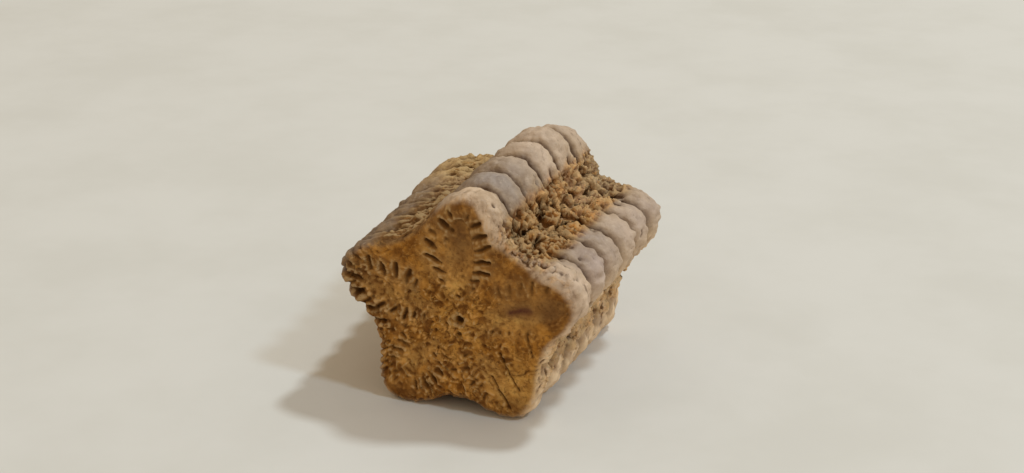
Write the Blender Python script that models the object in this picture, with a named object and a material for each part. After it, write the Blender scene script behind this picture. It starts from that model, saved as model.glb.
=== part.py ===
"""A fossil crinoid stem: six star-shaped columnals cemented into one stone, lying on two of its five arms.

The stem's axis runs along +Y, and its bared star face looks along -Y. +Z is up, the two lower arms lie on
z = 0, and the origin is under the middle of the stone. All lengths are in metres.
"""

import math
import random
from dataclasses import dataclass

import bmesh
import bpy
import numpy as np
from mathutils import Vector, noise

MM = 0.001

# The stem
COLUMNALS = 6
COLUMNAL_THICKNESS = 1.65 * MM
STEM_LENGTH = COLUMNALS * COLUMNAL_THICKNESS
AXIS_HEIGHT = 3.78 * MM
AXIS_OFFSET = 0.28 * MM
ARM_ROUNDNESS = 1.15


@dataclass(frozen=True)
class Arm:
    """One arm of the star: where it points, how far it reaches, the valley that follows it anticlockwise,
    how far its knuckles bulge, and how deep the slots of its petal are."""

    bearing: float
    reach: float
    growth: float
    valley: float
    bulge: float
    slot_depth: float
    end_wear: float = 0.0
    end_lean: float = 0.0


TOP = Arm(84.0, 4.95 * MM, 0.09 * MM, 3.75 * MM, 0.28 * MM, 0.20 * MM, 0.60 * MM, -3.5)
UPPER_LEFT = Arm(164.0, 5.12 * MM, 0.08 * MM, 3.58 * MM, 0.24 * MM, 0.20 * MM)
LOWER_LEFT = Arm(230.0, 4.74 * MM, 0.0, 3.25 * MM, 0.28 * MM, 0.12 * MM)
LOWER_RIGHT = Arm(304.5, 4.34 * MM, 0.04 * MM, 3.45 * MM, 0.34 * MM, 0.10 * MM)
RIGHT = Arm(381.0, 4.96 * MM, 0.03 * MM, 3.70 * MM, 0.36 * MM, 0.12 * MM)
ARMS = (TOP, UPPER_LEFT, LOWER_LEFT, LOWER_RIGHT, RIGHT)

# Where along the stem an arm's end leans over and is worn down, as shares of its length
END_LEAN_SPAN = (0.60, 0.95)
END_WEAR_SPAN = (0.76, 0.96)

# The rounded outline of each columnal, and the sutures, the creases between one and the next
BULGE_IN_VALLEYS = 0.12 * MM
BULGE_SHARPNESS = 2.4
SUTURE_DEPTH_ON_ARMS = 0.22 * MM
SUTURE_DEPTH_IN_VALLEYS = 0.16 * MM
SUTURE_HALF_WIDTH = 0.20 * MM

# Rounded edges of the two end faces
FRONT_EDGE_DEPTH = 0.45 * MM
FRONT_EDGE_WIDTH = 0.10
WORN_EDGE_WIDTH = 0.17
WORN_EDGE_BEARING = 52.0
WORN_EDGE_SPREAD = 38.0
FAR_EDGE_DEPTH = 0.75 * MM
FAR_EDGE_WIDTH = 0.17

# Notches over the front rim, a row of them round the tip of the upper left arm
NOTCH_BEARING = 180.0
NOTCH_SPREAD = 17.0
NOTCH_FADE = 0.8
NOTCH_PITCH = 0.50 * MM
NOTCH_RADIUS = 4.6 * MM
NOTCH_SLANT = 0.3
NOTCH_SHARPNESS = 2.5
NOTCH_DEPTH = 0.24 * MM
NOTCH_RIM = (0.74, 0.86)
NOTCH_END = (0.5 * MM, 1.0 * MM)

# The petals on each end face: a sunken floor along each arm, edged with slots between ridges
PETAL_START = 0.60 * MM
PETAL_END_SHARE = 0.84
PETAL_HALF_WIDTH = 0.62 * MM
PETAL_FULLNESS = 0.75
PETAL_WIDEST = 1.25
SPACE_BESIDE_PETAL = 0.85
PETAL_FLOOR_DEPTH = 0.10 * MM
SLOT_PITCH = 0.43 * MM
SLOT_START = 1.30 * MM
SLOT_HALF_WIDTH = 0.14 * MM
SLOT_LENGTH = 0.62 * MM
SLOT_LEAN_NEAR_AXIS = 14.0
SLOT_LEAN_NEAR_TIP = 52.0
TIP_SLOT_ANGLES = (-34.0, 0.0, 34.0)
TIP_SLOT_LENGTH = 0.38 * MM
TIP_SLOT_SETBACK = 0.5
TIP_SLOT_SPREAD = 0.6
FAR_FACE_WEAR = 0.55

# The canal down the axis, and a small pit below it
LUMEN_RADIUS = 0.21 * MM
LUMEN_DEPTH = 0.32 * MM
SMALL_PIT_RADIUS = 0.13 * MM
SMALL_PIT_DEPTH = 0.14 * MM
SMALL_PIT_DROP = 0.58 * MM

# Sandy matrix that fills the valleys, its pits, and the crust of it high on the far end
MATRIX_RELIEF = 0.24 * MM
MATRIX_SEED = 1.0
PITTED_VALLEYS = ((52.0, 46), (124.0, 14), (197.0, 8), (267.0, 8), (343.0, 18))
PIT_SPREAD = 13.0
PIT_RADIUS_RANGE = (0.13 * MM, 0.24 * MM)
PIT_DEPTH_RANGE = (0.14 * MM, 0.30 * MM)
PIT_SEED = 11
MATRIX_LUMP_SIZE = 0.62 * MM
FINE_RELIEF = 0.03 * MM
FINE_LUMP_SIZE = 0.30 * MM
FINE_SEED = 2.0
COLUMNAL_UNEVENNESS = 0.07 * MM
COLUMNAL_LUMP_SIZE = 1.3 * MM
COLUMNAL_SEED = 3.0
NOISE_STEP = (3.7, 1.3, 5.1)
MATRIX_EDGE_SHARPNESS = 1.5
CRUST_HEIGHT = 0.30 * MM
CRUST_BEARING = 140.0
CRUST_SPREAD = 20.0
CRUST_START = 6.4 * MM

# The mesh: rings of points from the middle of the front face, along the side, to the middle of the far face
POINTS_AROUND = 240
FRONT_FACE_RINGS = 64
EDGE_RINGS = 7
SIDE_RINGS_PER_COLUMNAL = 12
RING_CROWDING = 0.55
RING_GAP_AT_EDGES = 0.05 * MM
FAR_FACE_RINGS = 30
TRIANGLE_BUDGET = 9400
CUTTER_SIZE = 30.0 * MM

# A hollow is flat out to the first share of its radius, and fades out at the second
HOLLOW_PROFILE = (0.3, 1.3)

STONE_COLOUR = (0.33, 0.21, 0.11, 1.0)
STONE_ROUGHNESS = 0.75


def clear_scene():
    for existing in list(bpy.data.objects):
        bpy.data.objects.remove(existing, do_unlink=True)


def smooth_step(low, high, value):
    share = np.clip((value - low) / (high - low), 0.0, 1.0)
    return share * share * (3.0 - 2.0 * share)


def dip(gap, radius):
    """A soft-edged hollow: 1 at its middle, fading to 0 a little beyond its radius."""
    flat, edge = HOLLOW_PROFILE
    return 1.0 - smooth_step(flat * radius, edge * radius, gap)


def angle_between(theta, bearing):
    """Signed angle in radians from a bearing in degrees."""
    return (theta - math.radians(bearing) + math.pi) % (2.0 * math.pi) - math.pi


def lump_noise(points, lump_size, seed):
    """Smooth noise between about -1 and 1 at each point, with lumps of the given size."""
    offset = Vector(NOISE_STEP) * seed
    return np.array([noise.noise(Vector(point) / lump_size + offset) for point in points])


def arm_bearing(arm, along):
    """Bearing in radians, leaning over on the last two columnals where the arm does."""
    start, end = END_LEAN_SPAN
    lean = arm.end_lean * smooth_step(STEM_LENGTH * start, STEM_LENGTH * end, along)
    return np.radians(arm.bearing + lean)


def arm_reach(arm, along):
    """Distance of the arm's tip from the axis, growing along the stem and worn down at its far end."""
    start, end = END_WEAR_SPAN
    grown = arm.reach + arm.growth * along / COLUMNAL_THICKNESS
    return grown - arm.end_wear * smooth_step(STEM_LENGTH * start, STEM_LENGTH * end, along)


def star_radius(theta, along):
    """Radius of the smooth star section at each angle, how much of an arm (1) or a valley (0) that is, and
    how far the columnals bulge there."""
    radius = np.zeros_like(theta)
    armness = np.zeros_like(theta)
    bulge = np.zeros_like(theta)
    for index, arm in enumerate(ARMS):
        following = ARMS[(index + 1) % len(ARMS)]
        start = arm_bearing(arm, along)
        span = (arm_bearing(following, along) - start) % (2.0 * math.pi)
        share = ((theta - start) % (2.0 * math.pi)) / span
        inside = share < 1.0
        crest = (0.5 * (1.0 + np.cos(2.0 * math.pi * share))) ** ARM_ROUNDNESS
        tip = np.where(share < 0.5, arm_reach(arm, along), arm_reach(following, along))
        radius = np.where(inside, arm.valley + (tip - arm.valley) * crest, radius)
        armness = np.where(inside, crest, armness)
        knuckle = np.where(share < 0.5, arm.bulge, following.bulge)
        bulge = np.where(inside, BULGE_IN_VALLEYS + (knuckle - BULGE_IN_VALLEYS) * crest, bulge)
    return radius, armness, bulge


def suture_inset(along, armness, bulge):
    """How far the side is drawn in at and near the joint between two columnals."""
    to_middle = np.abs((along / COLUMNAL_THICKNESS) % 1.0 - 0.5)
    rounded = bulge * (2.0 * to_middle) ** BULGE_SHARPNESS
    to_joint = (0.5 - to_middle) * COLUMNAL_THICKNESS
    depth = SUTURE_DEPTH_IN_VALLEYS + (SUTURE_DEPTH_ON_ARMS - SUTURE_DEPTH_IN_VALLEYS) * armness
    crease = depth * (1.0 - smooth_step(0.0, SUTURE_HALF_WIDTH, to_joint))
    at_an_end = (along < 0.5 * COLUMNAL_THICKNESS) | (along > STEM_LENGTH - 0.5 * COLUMNAL_THICKNESS)
    return np.where(at_an_end, 0.0, rounded + crease)


def front_edge_width(theta):
    """Width of the rounded front edge, as a share of the radius: broad where it is worn."""
    worn = np.exp(-((angle_between(theta, WORN_EDGE_BEARING) / math.radians(WORN_EDGE_SPREAD)) ** 2))
    return FRONT_EDGE_WIDTH + (WORN_EDGE_WIDTH - FRONT_EDGE_WIDTH) * worn


def side_ring_places():
    """Distances along the stem of the rings between the rounded edges, crowded near the sutures."""
    along = []
    for ring in range(COLUMNALS * SIDE_RINGS_PER_COLUMNAL):
        turn = 2.0 * math.pi * ring / SIDE_RINGS_PER_COLUMNAL
        along.append(COLUMNAL_THICKNESS * (turn - RING_CROWDING * math.sin(turn)) / (2.0 * math.pi))
    near_end = FRONT_EDGE_DEPTH + RING_GAP_AT_EDGES
    far_end = STEM_LENGTH - FAR_EDGE_DEPTH - RING_GAP_AT_EDGES
    return [place for place in along if near_end < place < far_end]


def ring_places(theta):
    """Share of the star's radius and distance along the stem, a row for each ring, front to far end."""
    front_width = front_edge_width(theta)
    even = np.ones_like(theta)
    places = []
    for ring in range(1, FRONT_FACE_RINGS + 1):
        places.append(((1.0 - front_width) * ring / FRONT_FACE_RINGS, 0.0 * even))
    for ring in range(1, EDGE_RINGS + 1):
        turn = 0.5 * math.pi * ring / EDGE_RINGS
        share = 1.0 - front_width * (1.0 - math.sin(turn))
        places.append((share, FRONT_EDGE_DEPTH * (1.0 - math.cos(turn)) * even))
    for along in side_ring_places():
        places.append((even, along * even))
    for ring in range(EDGE_RINGS, -1, -1):
        turn = 0.5 * math.pi * ring / EDGE_RINGS
        share = 1.0 - FAR_EDGE_WIDTH * (1.0 - math.sin(turn))
        places.append((share * even, (STEM_LENGTH - FAR_EDGE_DEPTH * (1.0 - math.cos(turn))) * even))
    for ring in range(FAR_FACE_RINGS - 1, 0, -1):
        places.append(((1.0 - FAR_EDGE_WIDTH) * ring / FAR_FACE_RINGS * even, STEM_LENGTH * even))
    return places


def petal_half_width(along_arm, petal_end):
    """Half the width of a petal's floor: a rounded leaf, widest past its middle."""
    share = np.clip((along_arm - PETAL_START) / (petal_end - PETAL_START), 0.0, 1.0)
    return PETAL_HALF_WIDTH * np.sin(math.pi * share ** PETAL_WIDEST) ** PETAL_FULLNESS


def petal_slots(arm, reach):
    """Start and end of each slot along one petal, as distances along the arm and across it."""
    petal_end = PETAL_END_SHARE * reach
    slots = []
    count = int((petal_end - SLOT_START) / SLOT_PITCH)
    for step in range(count):
        along_arm = SLOT_START + step * SLOT_PITCH
        share = step / max(count - 1, 1)
        lean = math.radians(SLOT_LEAN_NEAR_AXIS + (SLOT_LEAN_NEAR_TIP - SLOT_LEAN_NEAR_AXIS) * share ** 2)
        edge = float(petal_half_width(along_arm, petal_end))
        room = along_arm * math.tan(math.pi / len(ARMS)) - edge
        length = min(SLOT_LENGTH, SPACE_BESIDE_PETAL * room)
        for side in (-1.0, 1.0):
            start = (along_arm, side * edge)
            end = (along_arm + length * math.sin(lean), side * (edge + length * math.cos(lean)))
            slots.append((start, end))
    for angle in TIP_SLOT_ANGLES:
        turn = math.radians(angle)
        setback = TIP_SLOT_SETBACK * SLOT_PITCH * abs(math.sin(turn))
        start = (petal_end - setback, TIP_SLOT_SPREAD * SLOT_PITCH * math.sin(turn))
        end = (start[0] + TIP_SLOT_LENGTH * math.cos(turn), start[1] + TIP_SLOT_LENGTH * math.sin(turn))
        slots.append((start, end))
    return slots


def distance_to_segment(across, up, start, end):
    run = (end[0] - start[0], end[1] - start[1])
    share = ((across - start[0]) * run[0] + (up - start[1]) * run[1]) / (run[0] ** 2 + run[1] ** 2)
    share = np.clip(share, 0.0, 1.0)
    return np.hypot(across - start[0] - share * run[0], up - start[1] - share * run[1])


def petal_relief(across, up, arm, reach):
    """Sunken floor and slots of one petal, as a height that is negative below the face."""
    bearing = math.radians(arm.bearing)
    along_arm = across * math.cos(bearing) + up * math.sin(bearing)
    sideways = up * math.cos(bearing) - across * math.sin(bearing)
    half_width = petal_half_width(along_arm, PETAL_END_SHARE * reach)
    floor = smooth_step(-PETAL_FLOOR_DEPTH, PETAL_FLOOR_DEPTH, half_width - np.abs(sideways))
    depth = np.where(along_arm > 0.0, PETAL_FLOOR_DEPTH * floor, 0.0)
    for start, end in petal_slots(arm, reach):
        gap = distance_to_segment(along_arm, sideways, start, end)
        depth = np.maximum(depth, arm.slot_depth * dip(gap, SLOT_HALF_WIDTH))
    return -depth


def front_face_relief(across, up):
    height = np.zeros_like(across)
    for arm in ARMS:
        height += petal_relief(across, up, arm, arm.reach)
    lumen = LUMEN_DEPTH * dip(np.hypot(across, up), LUMEN_RADIUS)
    small_pit = SMALL_PIT_DEPTH * dip(np.hypot(across, up + SMALL_PIT_DROP), SMALL_PIT_RADIUS)
    return height - lumen - small_pit


def far_face_relief(across, up):
    """The same petals and canal on the far face, softened by wear."""
    height = -LUMEN_DEPTH * dip(np.hypot(across, up), LUMEN_RADIUS)
    for arm in ARMS:
        height += petal_relief(across, up, arm, arm.reach)
    return height * FAR_FACE_WEAR


def rim_notches(theta, share, along, radius):
    """Depth of the row of notches over the front rim."""
    away = angle_between(theta, NOTCH_BEARING)
    across = away * NOTCH_RADIUS + NOTCH_SLANT * (radius - NOTCH_RADIUS)
    row = (0.5 + 0.5 * np.cos(2.0 * math.pi * across / NOTCH_PITCH)) ** NOTCH_SHARPNESS
    in_row = 1.0 - smooth_step(NOTCH_FADE, 1.0, np.abs(away) / math.radians(NOTCH_SPREAD))
    on_rim = smooth_step(*NOTCH_RIM, share) * (1.0 - smooth_step(*NOTCH_END, along))
    return NOTCH_DEPTH * row * in_row * on_rim


def crust_height(theta, along):
    """A patch of matrix left standing on the far end of the upper left arm."""
    near = np.exp(-((angle_between(theta, CRUST_BEARING) / math.radians(CRUST_SPREAD)) ** 2))
    return CRUST_HEIGHT * near * smooth_step(CRUST_START, CRUST_START + COLUMNAL_THICKNESS, along)


def matrix_pits(points):
    """Depth of the pits strewn over the matrix, most of them in the open valley beside the top arm."""
    dice = random.Random(PIT_SEED)
    theta = np.arctan2(points[:, 2], points[:, 0])
    depth = np.zeros(len(points))
    for bearing, count in PITTED_VALLEYS:
        for _ in range(count):
            away = angle_between(theta, dice.gauss(bearing, PIT_SPREAD))
            place = dice.uniform(FRONT_EDGE_DEPTH, STEM_LENGTH - FAR_EDGE_DEPTH)
            radius = dice.uniform(*PIT_RADIUS_RANGE)
            gap = np.hypot(away * TOP.valley, points[:, 1] - place)
            depth = np.maximum(depth, dice.uniform(*PIT_DEPTH_RANGE) * dip(gap, radius))
    return depth


def side_relief(points, theta, along, armness):
    """Lumps and pits of the side, strongest in the valleys, where matrix clings."""
    matrix = (1.0 - armness) ** MATRIX_EDGE_SHARPNESS
    relief = MATRIX_RELIEF * matrix * lump_noise(points, MATRIX_LUMP_SIZE, MATRIX_SEED)
    relief += FINE_RELIEF * matrix * lump_noise(points, FINE_LUMP_SIZE, FINE_SEED)
    relief += COLUMNAL_UNEVENNESS * lump_noise(points, COLUMNAL_LUMP_SIZE, COLUMNAL_SEED)
    return relief + crust_height(theta, along) - matrix_pits(points)


def shape_points(theta, share, along):
    """Positions of points given by angle, share of the star's radius and distance along the stem."""
    star, armness, bulge = star_radius(theta, along)
    radius = star - suture_inset(along, armness, bulge)
    points = np.column_stack((radius * share * np.cos(theta), along, radius * share * np.sin(theta)))
    on_side = smooth_step(0.0, FRONT_EDGE_DEPTH, np.minimum(along, STEM_LENGTH - along))
    notches = rim_notches(theta, share, along, star)
    outward = (side_relief(points, theta, along, armness) - notches) * on_side
    front = front_face_relief(points[:, 0], points[:, 2]) - notches
    far = far_face_relief(points[:, 0], points[:, 2])
    at_front = along < 0.5 * STEM_LENGTH
    face_height = np.where(at_front, front, far) * (1.0 - on_side)
    points[:, 0] += outward * np.cos(theta)
    points[:, 2] += outward * np.sin(theta)
    points[:, 1] += np.where(at_front, -face_height, face_height)
    return points


def loft_faces(rings):
    """Faces between neighbouring rings, and a fan at each pole: the first point and the last one."""
    faces = []
    last = 1 + rings * POINTS_AROUND
    for step in range(POINTS_AROUND):
        after = (step + 1) % POINTS_AROUND
        faces.append((0, 1 + step, 1 + after))
        for start in range(1, last - POINTS_AROUND, POINTS_AROUND):
            onward = start + POINTS_AROUND
            faces.append((start + step, onward + step, onward + after, start + after))
        faces.append((last, last - POINTS_AROUND + after, last - POINTS_AROUND + step))
    return faces


def build_stem_mesh():
    """A loft through all the rings of points, closed at a pole in the middle of each end face."""
    angles = np.arange(POINTS_AROUND) * 2.0 * math.pi / POINTS_AROUND
    places = ring_places(angles)
    theta = np.concatenate(([0.0], np.tile(angles, len(places)), [0.0]))
    share = np.concatenate(([0.0], *[ring_share for ring_share, _ in places], [0.0]))
    along = np.concatenate(([0.0], *[ring_along for _, ring_along in places], [STEM_LENGTH]))
    points = shape_points(theta, share, along)
    points += np.array([AXIS_OFFSET, -0.5 * STEM_LENGTH, AXIS_HEIGHT])
    mesh = bpy.data.meshes.new("crinoid_stem")
    mesh.from_pydata(points.tolist(), [], loft_faces(len(places)))
    mesh.shade_smooth()
    return mesh


def make_stone():
    stone = bpy.data.materials.new("ochre_stone")
    stone.use_nodes = True
    shader = stone.node_tree.nodes["Principled BSDF"]
    shader.inputs["Base Color"].default_value = STONE_COLOUR
    shader.inputs["Roughness"].default_value = STONE_ROUGHNESS
    shader.inputs["Metallic"].default_value = 0.0
    return stone


def make_ground_cutter(collection):
    """A block below the ground, which cuts the worn flats that the stone rests on."""
    mesh = bpy.data.meshes.new("ground_cutter")
    block = bmesh.new()
    bmesh.ops.create_cube(block, size=CUTTER_SIZE)
    block.to_mesh(mesh)
    block.free()
    cutter = bpy.data.objects.new("ground_cutter", mesh)
    cutter.location = (0.0, 0.0, -0.5 * CUTTER_SIZE)
    cutter.hide_render = True
    cutter.display_type = "WIRE"
    collection.objects.link(cutter)
    return cutter


def make_stem(parts, cutter):
    stem = bpy.data.objects.new("crinoid_stem", build_stem_mesh())
    stem.data.materials.append(make_stone())
    parts.objects.link(stem)
    coarser = stem.modifiers.new("coarser", "DECIMATE")
    coarser.ratio = TRIANGLE_BUDGET / (2.0 * len(stem.data.vertices) - 4.0)
    flats = stem.modifiers.new("resting_flats", "BOOLEAN")
    flats.operation = "DIFFERENCE"
    flats.solver = "EXACT"
    flats.object = cutter
    return stem


def main():
    clear_scene()
    parts = bpy.data.collections.new("crinoid_fossil")
    cutters = bpy.data.collections.new("cutters")
    bpy.context.scene.collection.children.link(parts)
    bpy.context.scene.collection.children.link(cutters)
    make_stem(parts, make_ground_cutter(cutters))


main()
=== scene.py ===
"""Dresses a fossil crinoid stem: six star-shaped columnals cemented into one stone, lying on two of its arms.

The stone is one closed skin. Its form (star section, sutures, petals, canal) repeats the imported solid's named
sizes, and finer relief (slots, scratches, pits, grains, tubercles) and the finishes are laid over it. Lengths are in
metres, +Y runs along the stem away from the bared star face, and z = 0 is the surface that the stone lies on.
"""

import logging
import math
import random
from dataclasses import dataclass, field
from enum import Enum

import bpy
import numpy as np
from mathutils import Matrix, Vector


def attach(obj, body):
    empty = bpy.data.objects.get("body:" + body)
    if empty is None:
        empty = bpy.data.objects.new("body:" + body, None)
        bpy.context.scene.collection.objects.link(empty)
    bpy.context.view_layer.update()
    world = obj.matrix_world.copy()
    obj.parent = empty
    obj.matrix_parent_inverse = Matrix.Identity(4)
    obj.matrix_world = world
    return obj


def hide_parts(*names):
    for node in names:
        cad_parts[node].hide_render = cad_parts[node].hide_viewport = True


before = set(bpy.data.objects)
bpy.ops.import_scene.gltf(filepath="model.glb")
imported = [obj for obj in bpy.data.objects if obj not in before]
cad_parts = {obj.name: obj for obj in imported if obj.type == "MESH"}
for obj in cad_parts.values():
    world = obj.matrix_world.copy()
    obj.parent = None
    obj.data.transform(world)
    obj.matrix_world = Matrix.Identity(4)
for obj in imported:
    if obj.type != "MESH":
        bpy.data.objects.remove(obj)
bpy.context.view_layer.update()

LOG = logging.getLogger("crinoid_stem")
MM = 0.001
Field = np.ndarray
Colour = tuple[float, float, float]


def smooth_step(low: float, high: float, value: Field) -> Field:
    """Rise smoothly from 0 at low to 1 at high.

    Args:
        low: Value where the rise starts.
        high: Value where the rise ends; below low for a fall.
        value: Values to map.

    Returns:
        Shares from 0 to 1.
    """
    share = np.clip((value - low) / (high - low), 0.0, 1.0)
    return share * share * (3.0 - 2.0 * share)


def dip(gap: Field, radius: Field | float) -> Field:
    """Shape a soft-edged hollow.

    Args:
        gap: Distance from the hollow's middle line or point.
        radius: Its radius.

    Returns:
        1 at the middle, fading to 0 a little beyond the radius.
    """
    return 1.0 - smooth_step(0.0, 1.0, gap / radius - 0.3)


def groove(gap: Field, half_width: Field | float) -> Field:
    """Return 1 along a line, fading softly: to about a third at half the groove's width from it."""
    return np.exp(-((gap / half_width) ** 2))


def angle_from(theta: Field, bearing: float) -> Field:
    """Return the signed angle in radians from a bearing in degrees."""
    return (theta - math.radians(bearing) + math.pi) % (2.0 * math.pi) - math.pi


def bearing_share(theta: Field, bearing: float, inner: float, outer: float) -> Field:
    """Return 1 within inner degrees of a bearing, fading to 0 at outer degrees from it."""
    return 1.0 - smooth_step(math.radians(inner), math.radians(outer), np.abs(angle_from(theta, bearing)))


def near_bearing(theta: Field, bearing: float, spread: float) -> Field:
    """Return 1 at a bearing, fading softly: to about a third at spread degrees from it."""
    return np.exp(-((angle_from(theta, bearing) / math.radians(spread)) ** 2))


def span(value: Field, rise: tuple[float, float], fall: tuple[float, float]) -> Field:
    """Return 1 between a smooth rise and a smooth fall, each given by its start and end."""
    return smooth_step(*rise, value) * (1.0 - smooth_step(*fall, value))


def on_section(radius: Field, theta: Field, along: Field | float) -> Field:
    """Return points at a radius and an angle about the axis, one row each."""
    return np.column_stack((radius * np.cos(theta), along + np.zeros_like(theta), radius * np.sin(theta)))


def along_arm(across: Field, up: Field, bearing: float) -> tuple[Field, Field]:
    """Turn distances right of and above the axis into distances along a bearing in degrees and to its left."""
    turn = math.radians(bearing)
    return across * math.cos(turn) + up * math.sin(turn), up * math.cos(turn) - across * math.sin(turn)


def grid_of(values: Field, shape: tuple[int, int]) -> Field:
    """Lay a flat list of values or vectors back out on the grid of rings."""
    return values.reshape(shape + values.shape[1:])


def show(name: str, data: bpy.types.ID) -> bpy.types.Object:
    """Make an object of a mesh, a light or a camera, and link it to the scene."""
    shown = bpy.data.objects.new(name, data)
    bpy.context.scene.collection.objects.link(shown)
    return shown


def write_mask(mesh: bpy.types.Mesh, name: str, values: Field) -> None:
    """Keep one value for each of a mesh's points, for its finish to read."""
    mesh.attributes.new(name, "FLOAT", "POINT").data.foreach_set("value", values.astype(np.float32))


class Grain:
    """Repeatable noise in three dimensions, worked out from a hash of whole-numbered cells."""

    @staticmethod
    def chance(cells: Field, seed: int) -> Field:
        """Give each cell a number of its own.

        Args:
            cells: Whole-numbered cell places, one row each.
            seed: Which of many unlike sets of numbers to give.

        Returns:
            A number from 0 to 1 for each row.
        """
        mixed = cells[:, 0] * 73856093 ^ cells[:, 1] * 19349663 ^ cells[:, 2] * 83492791 ^ seed * 668265263
        mixed = ((mixed ^ (mixed >> 13)) * 1274126177) & 0xFFFFFFFF
        mixed = ((mixed ^ (mixed >> 15)) * 2246822519) & 0xFFFFFFFF
        return ((mixed ^ (mixed >> 16)) & 0xFFFFFF) / float(0x1000000)

    @classmethod
    def soft(cls, points: Field, size: float, seed: int) -> Field:
        """Make smooth noise with lumps of one size.

        Args:
            points: Places, one row each.
            size: Distance from one lump to the next.
            seed: Which noise.

        Returns:
            Values between about -1 and 1.
        """
        scaled = points / size
        cell = np.floor(scaled).astype(np.int64)
        inside = scaled - cell
        blend = inside ** 3 * (inside * (inside * 6.0 - 15.0) + 10.0)
        total = np.zeros(len(points))
        for corner in np.ndindex(2, 2, 2):
            place = cell + np.array(corner)
            away = inside - np.array(corner)
            turn = 2.0 * math.pi * cls.chance(place, seed)
            rise = 2.0 * cls.chance(place, seed + 101) - 1.0
            flat = np.sqrt(1.0 - rise ** 2)
            slope = away[:, 0] * flat * np.cos(turn) + away[:, 1] * flat * np.sin(turn) + away[:, 2] * rise
            weight = np.prod(np.where(np.array(corner), blend, 1.0 - blend), axis=1)
            total += weight * slope
        return total * 1.6

    @classmethod
    def rough(cls, points: Field, size: float, seed: int, octaves: int = 3) -> Field:
        """Sum soft noise of falling sizes, each half as large and as strong as the last.

        Args:
            points: Places, one row each.
            size: Size of the largest lumps.
            seed: Which noise.
            octaves: How many sizes.

        Returns:
            Values between about -1 and 1.
        """
        total = np.zeros(len(points))
        for octave in range(octaves):
            total += 0.5 ** octave * cls.soft(points, size * 0.5 ** octave, seed + 17 * octave)
        return total / (2.0 - 0.5 ** (octaves - 1))

    @classmethod
    def cells(cls, points: Field, size: float, seed: int) -> tuple[Field, Field]:
        """Find the nearest of points strewn one to a cell.

        Args:
            points: Places, one row each.
            size: Width of a cell.
            seed: Which strewing.

        Returns:
            The distance to the nearest strewn point as a share of the cell's width, and that point's own chance.
        """
        scaled = points / size
        cell = np.floor(scaled).astype(np.int64)
        nearest = np.full(len(points), 9.0)
        own = np.zeros(len(points))
        for shift in np.ndindex(3, 3, 3):
            place = cell + np.array(shift) - 1
            seat = np.column_stack([cls.chance(place, seed + 7 * axis) for axis in range(3)])
            away = np.linalg.norm(place + seat - scaled, axis=1)
            closer = away < nearest
            nearest = np.where(closer, away, nearest)
            own = np.where(closer, cls.chance(place, seed + 31), own)
        return nearest, own

    @classmethod
    def domes(cls, points: Field, size: float, seed: int, least: float, gain: float, rim: float = 0.5) -> Field:
        """Make rounded bumps, one to a cell, at least this steep and steeper by chance, 0 at their rims."""
        near, own = cls.cells(points, size, seed)
        return (rim - np.minimum(near, 0.9)) * (least + gain * own)

    @classmethod
    def warp(cls, points: Field, reach: float, size: float, seed: int, octaves: int = 1) -> Field:
        """Shift points by soft noise, so that what is laid on them bends."""
        return points + reach * np.column_stack([cls.rough(points, size, seed + axis, octaves) for axis in range(3)])


@dataclass(frozen=True)
class Crenulae:
    """How the slots along one petal look: their depth on each side, their length, and how unevenly they stand."""

    left_depth: float
    right_depth: float
    left_length: float
    right_length: float
    unevenness: float = 0.10
    pitch: float = 0.43 * MM
    half_width: float = 0.085 * MM
    tip_strength: float = 1.0


@dataclass(frozen=True)
class Arm:
    """One arm of the star: where it points, how far it reaches, the valley that follows it, and its knuckles."""

    bearing: float
    reach: float
    growth: float
    valley: float
    bulge: float
    crenulae: Crenulae
    end_wear: float = 0.0
    end_lean: float = 0.0


class ArmName(Enum):
    """The five arms, seen from the star face."""

    TOP = Arm(
        84.0, 4.95 * MM, 0.09 * MM, 3.75 * MM, 0.28 * MM,
        Crenulae(0.16 * MM, 0.20 * MM, 0.58 * MM, 0.50 * MM, 0.22), 0.60 * MM, -3.5,
    )
    UPPER_LEFT = Arm(
        164.0, 5.12 * MM, 0.08 * MM, 3.58 * MM, 0.24 * MM,
        Crenulae(0.16 * MM, 0.17 * MM, 0.50 * MM, 0.46 * MM, 0.30, 0.36 * MM, 0.080 * MM),
    )
    LOWER_LEFT = Arm(
        230.0, 4.74 * MM, 0.0, 3.25 * MM, 0.28 * MM,
        Crenulae(0.12 * MM, 0.12 * MM, 0.75 * MM, 0.85 * MM, 0.45, 0.31 * MM, 0.070 * MM, 0.15),
    )
    LOWER_RIGHT = Arm(
        304.5, 4.34 * MM, 0.04 * MM, 3.45 * MM, 0.34 * MM,
        Crenulae(0.04 * MM, 0.08 * MM, 0.55 * MM, 0.60 * MM, 0.50, 0.34 * MM, 0.070 * MM, 0.20),
    )
    RIGHT = Arm(
        381.0, 4.96 * MM, 0.03 * MM, 3.70 * MM, 0.36 * MM,
        Crenulae(0.10 * MM, 0.07 * MM, 0.62 * MM, 0.32 * MM, 0.40, 0.38 * MM, 0.095 * MM, 0.60),
    )


ARMS: tuple[Arm, ...] = tuple(name.value for name in ArmName)


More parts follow.
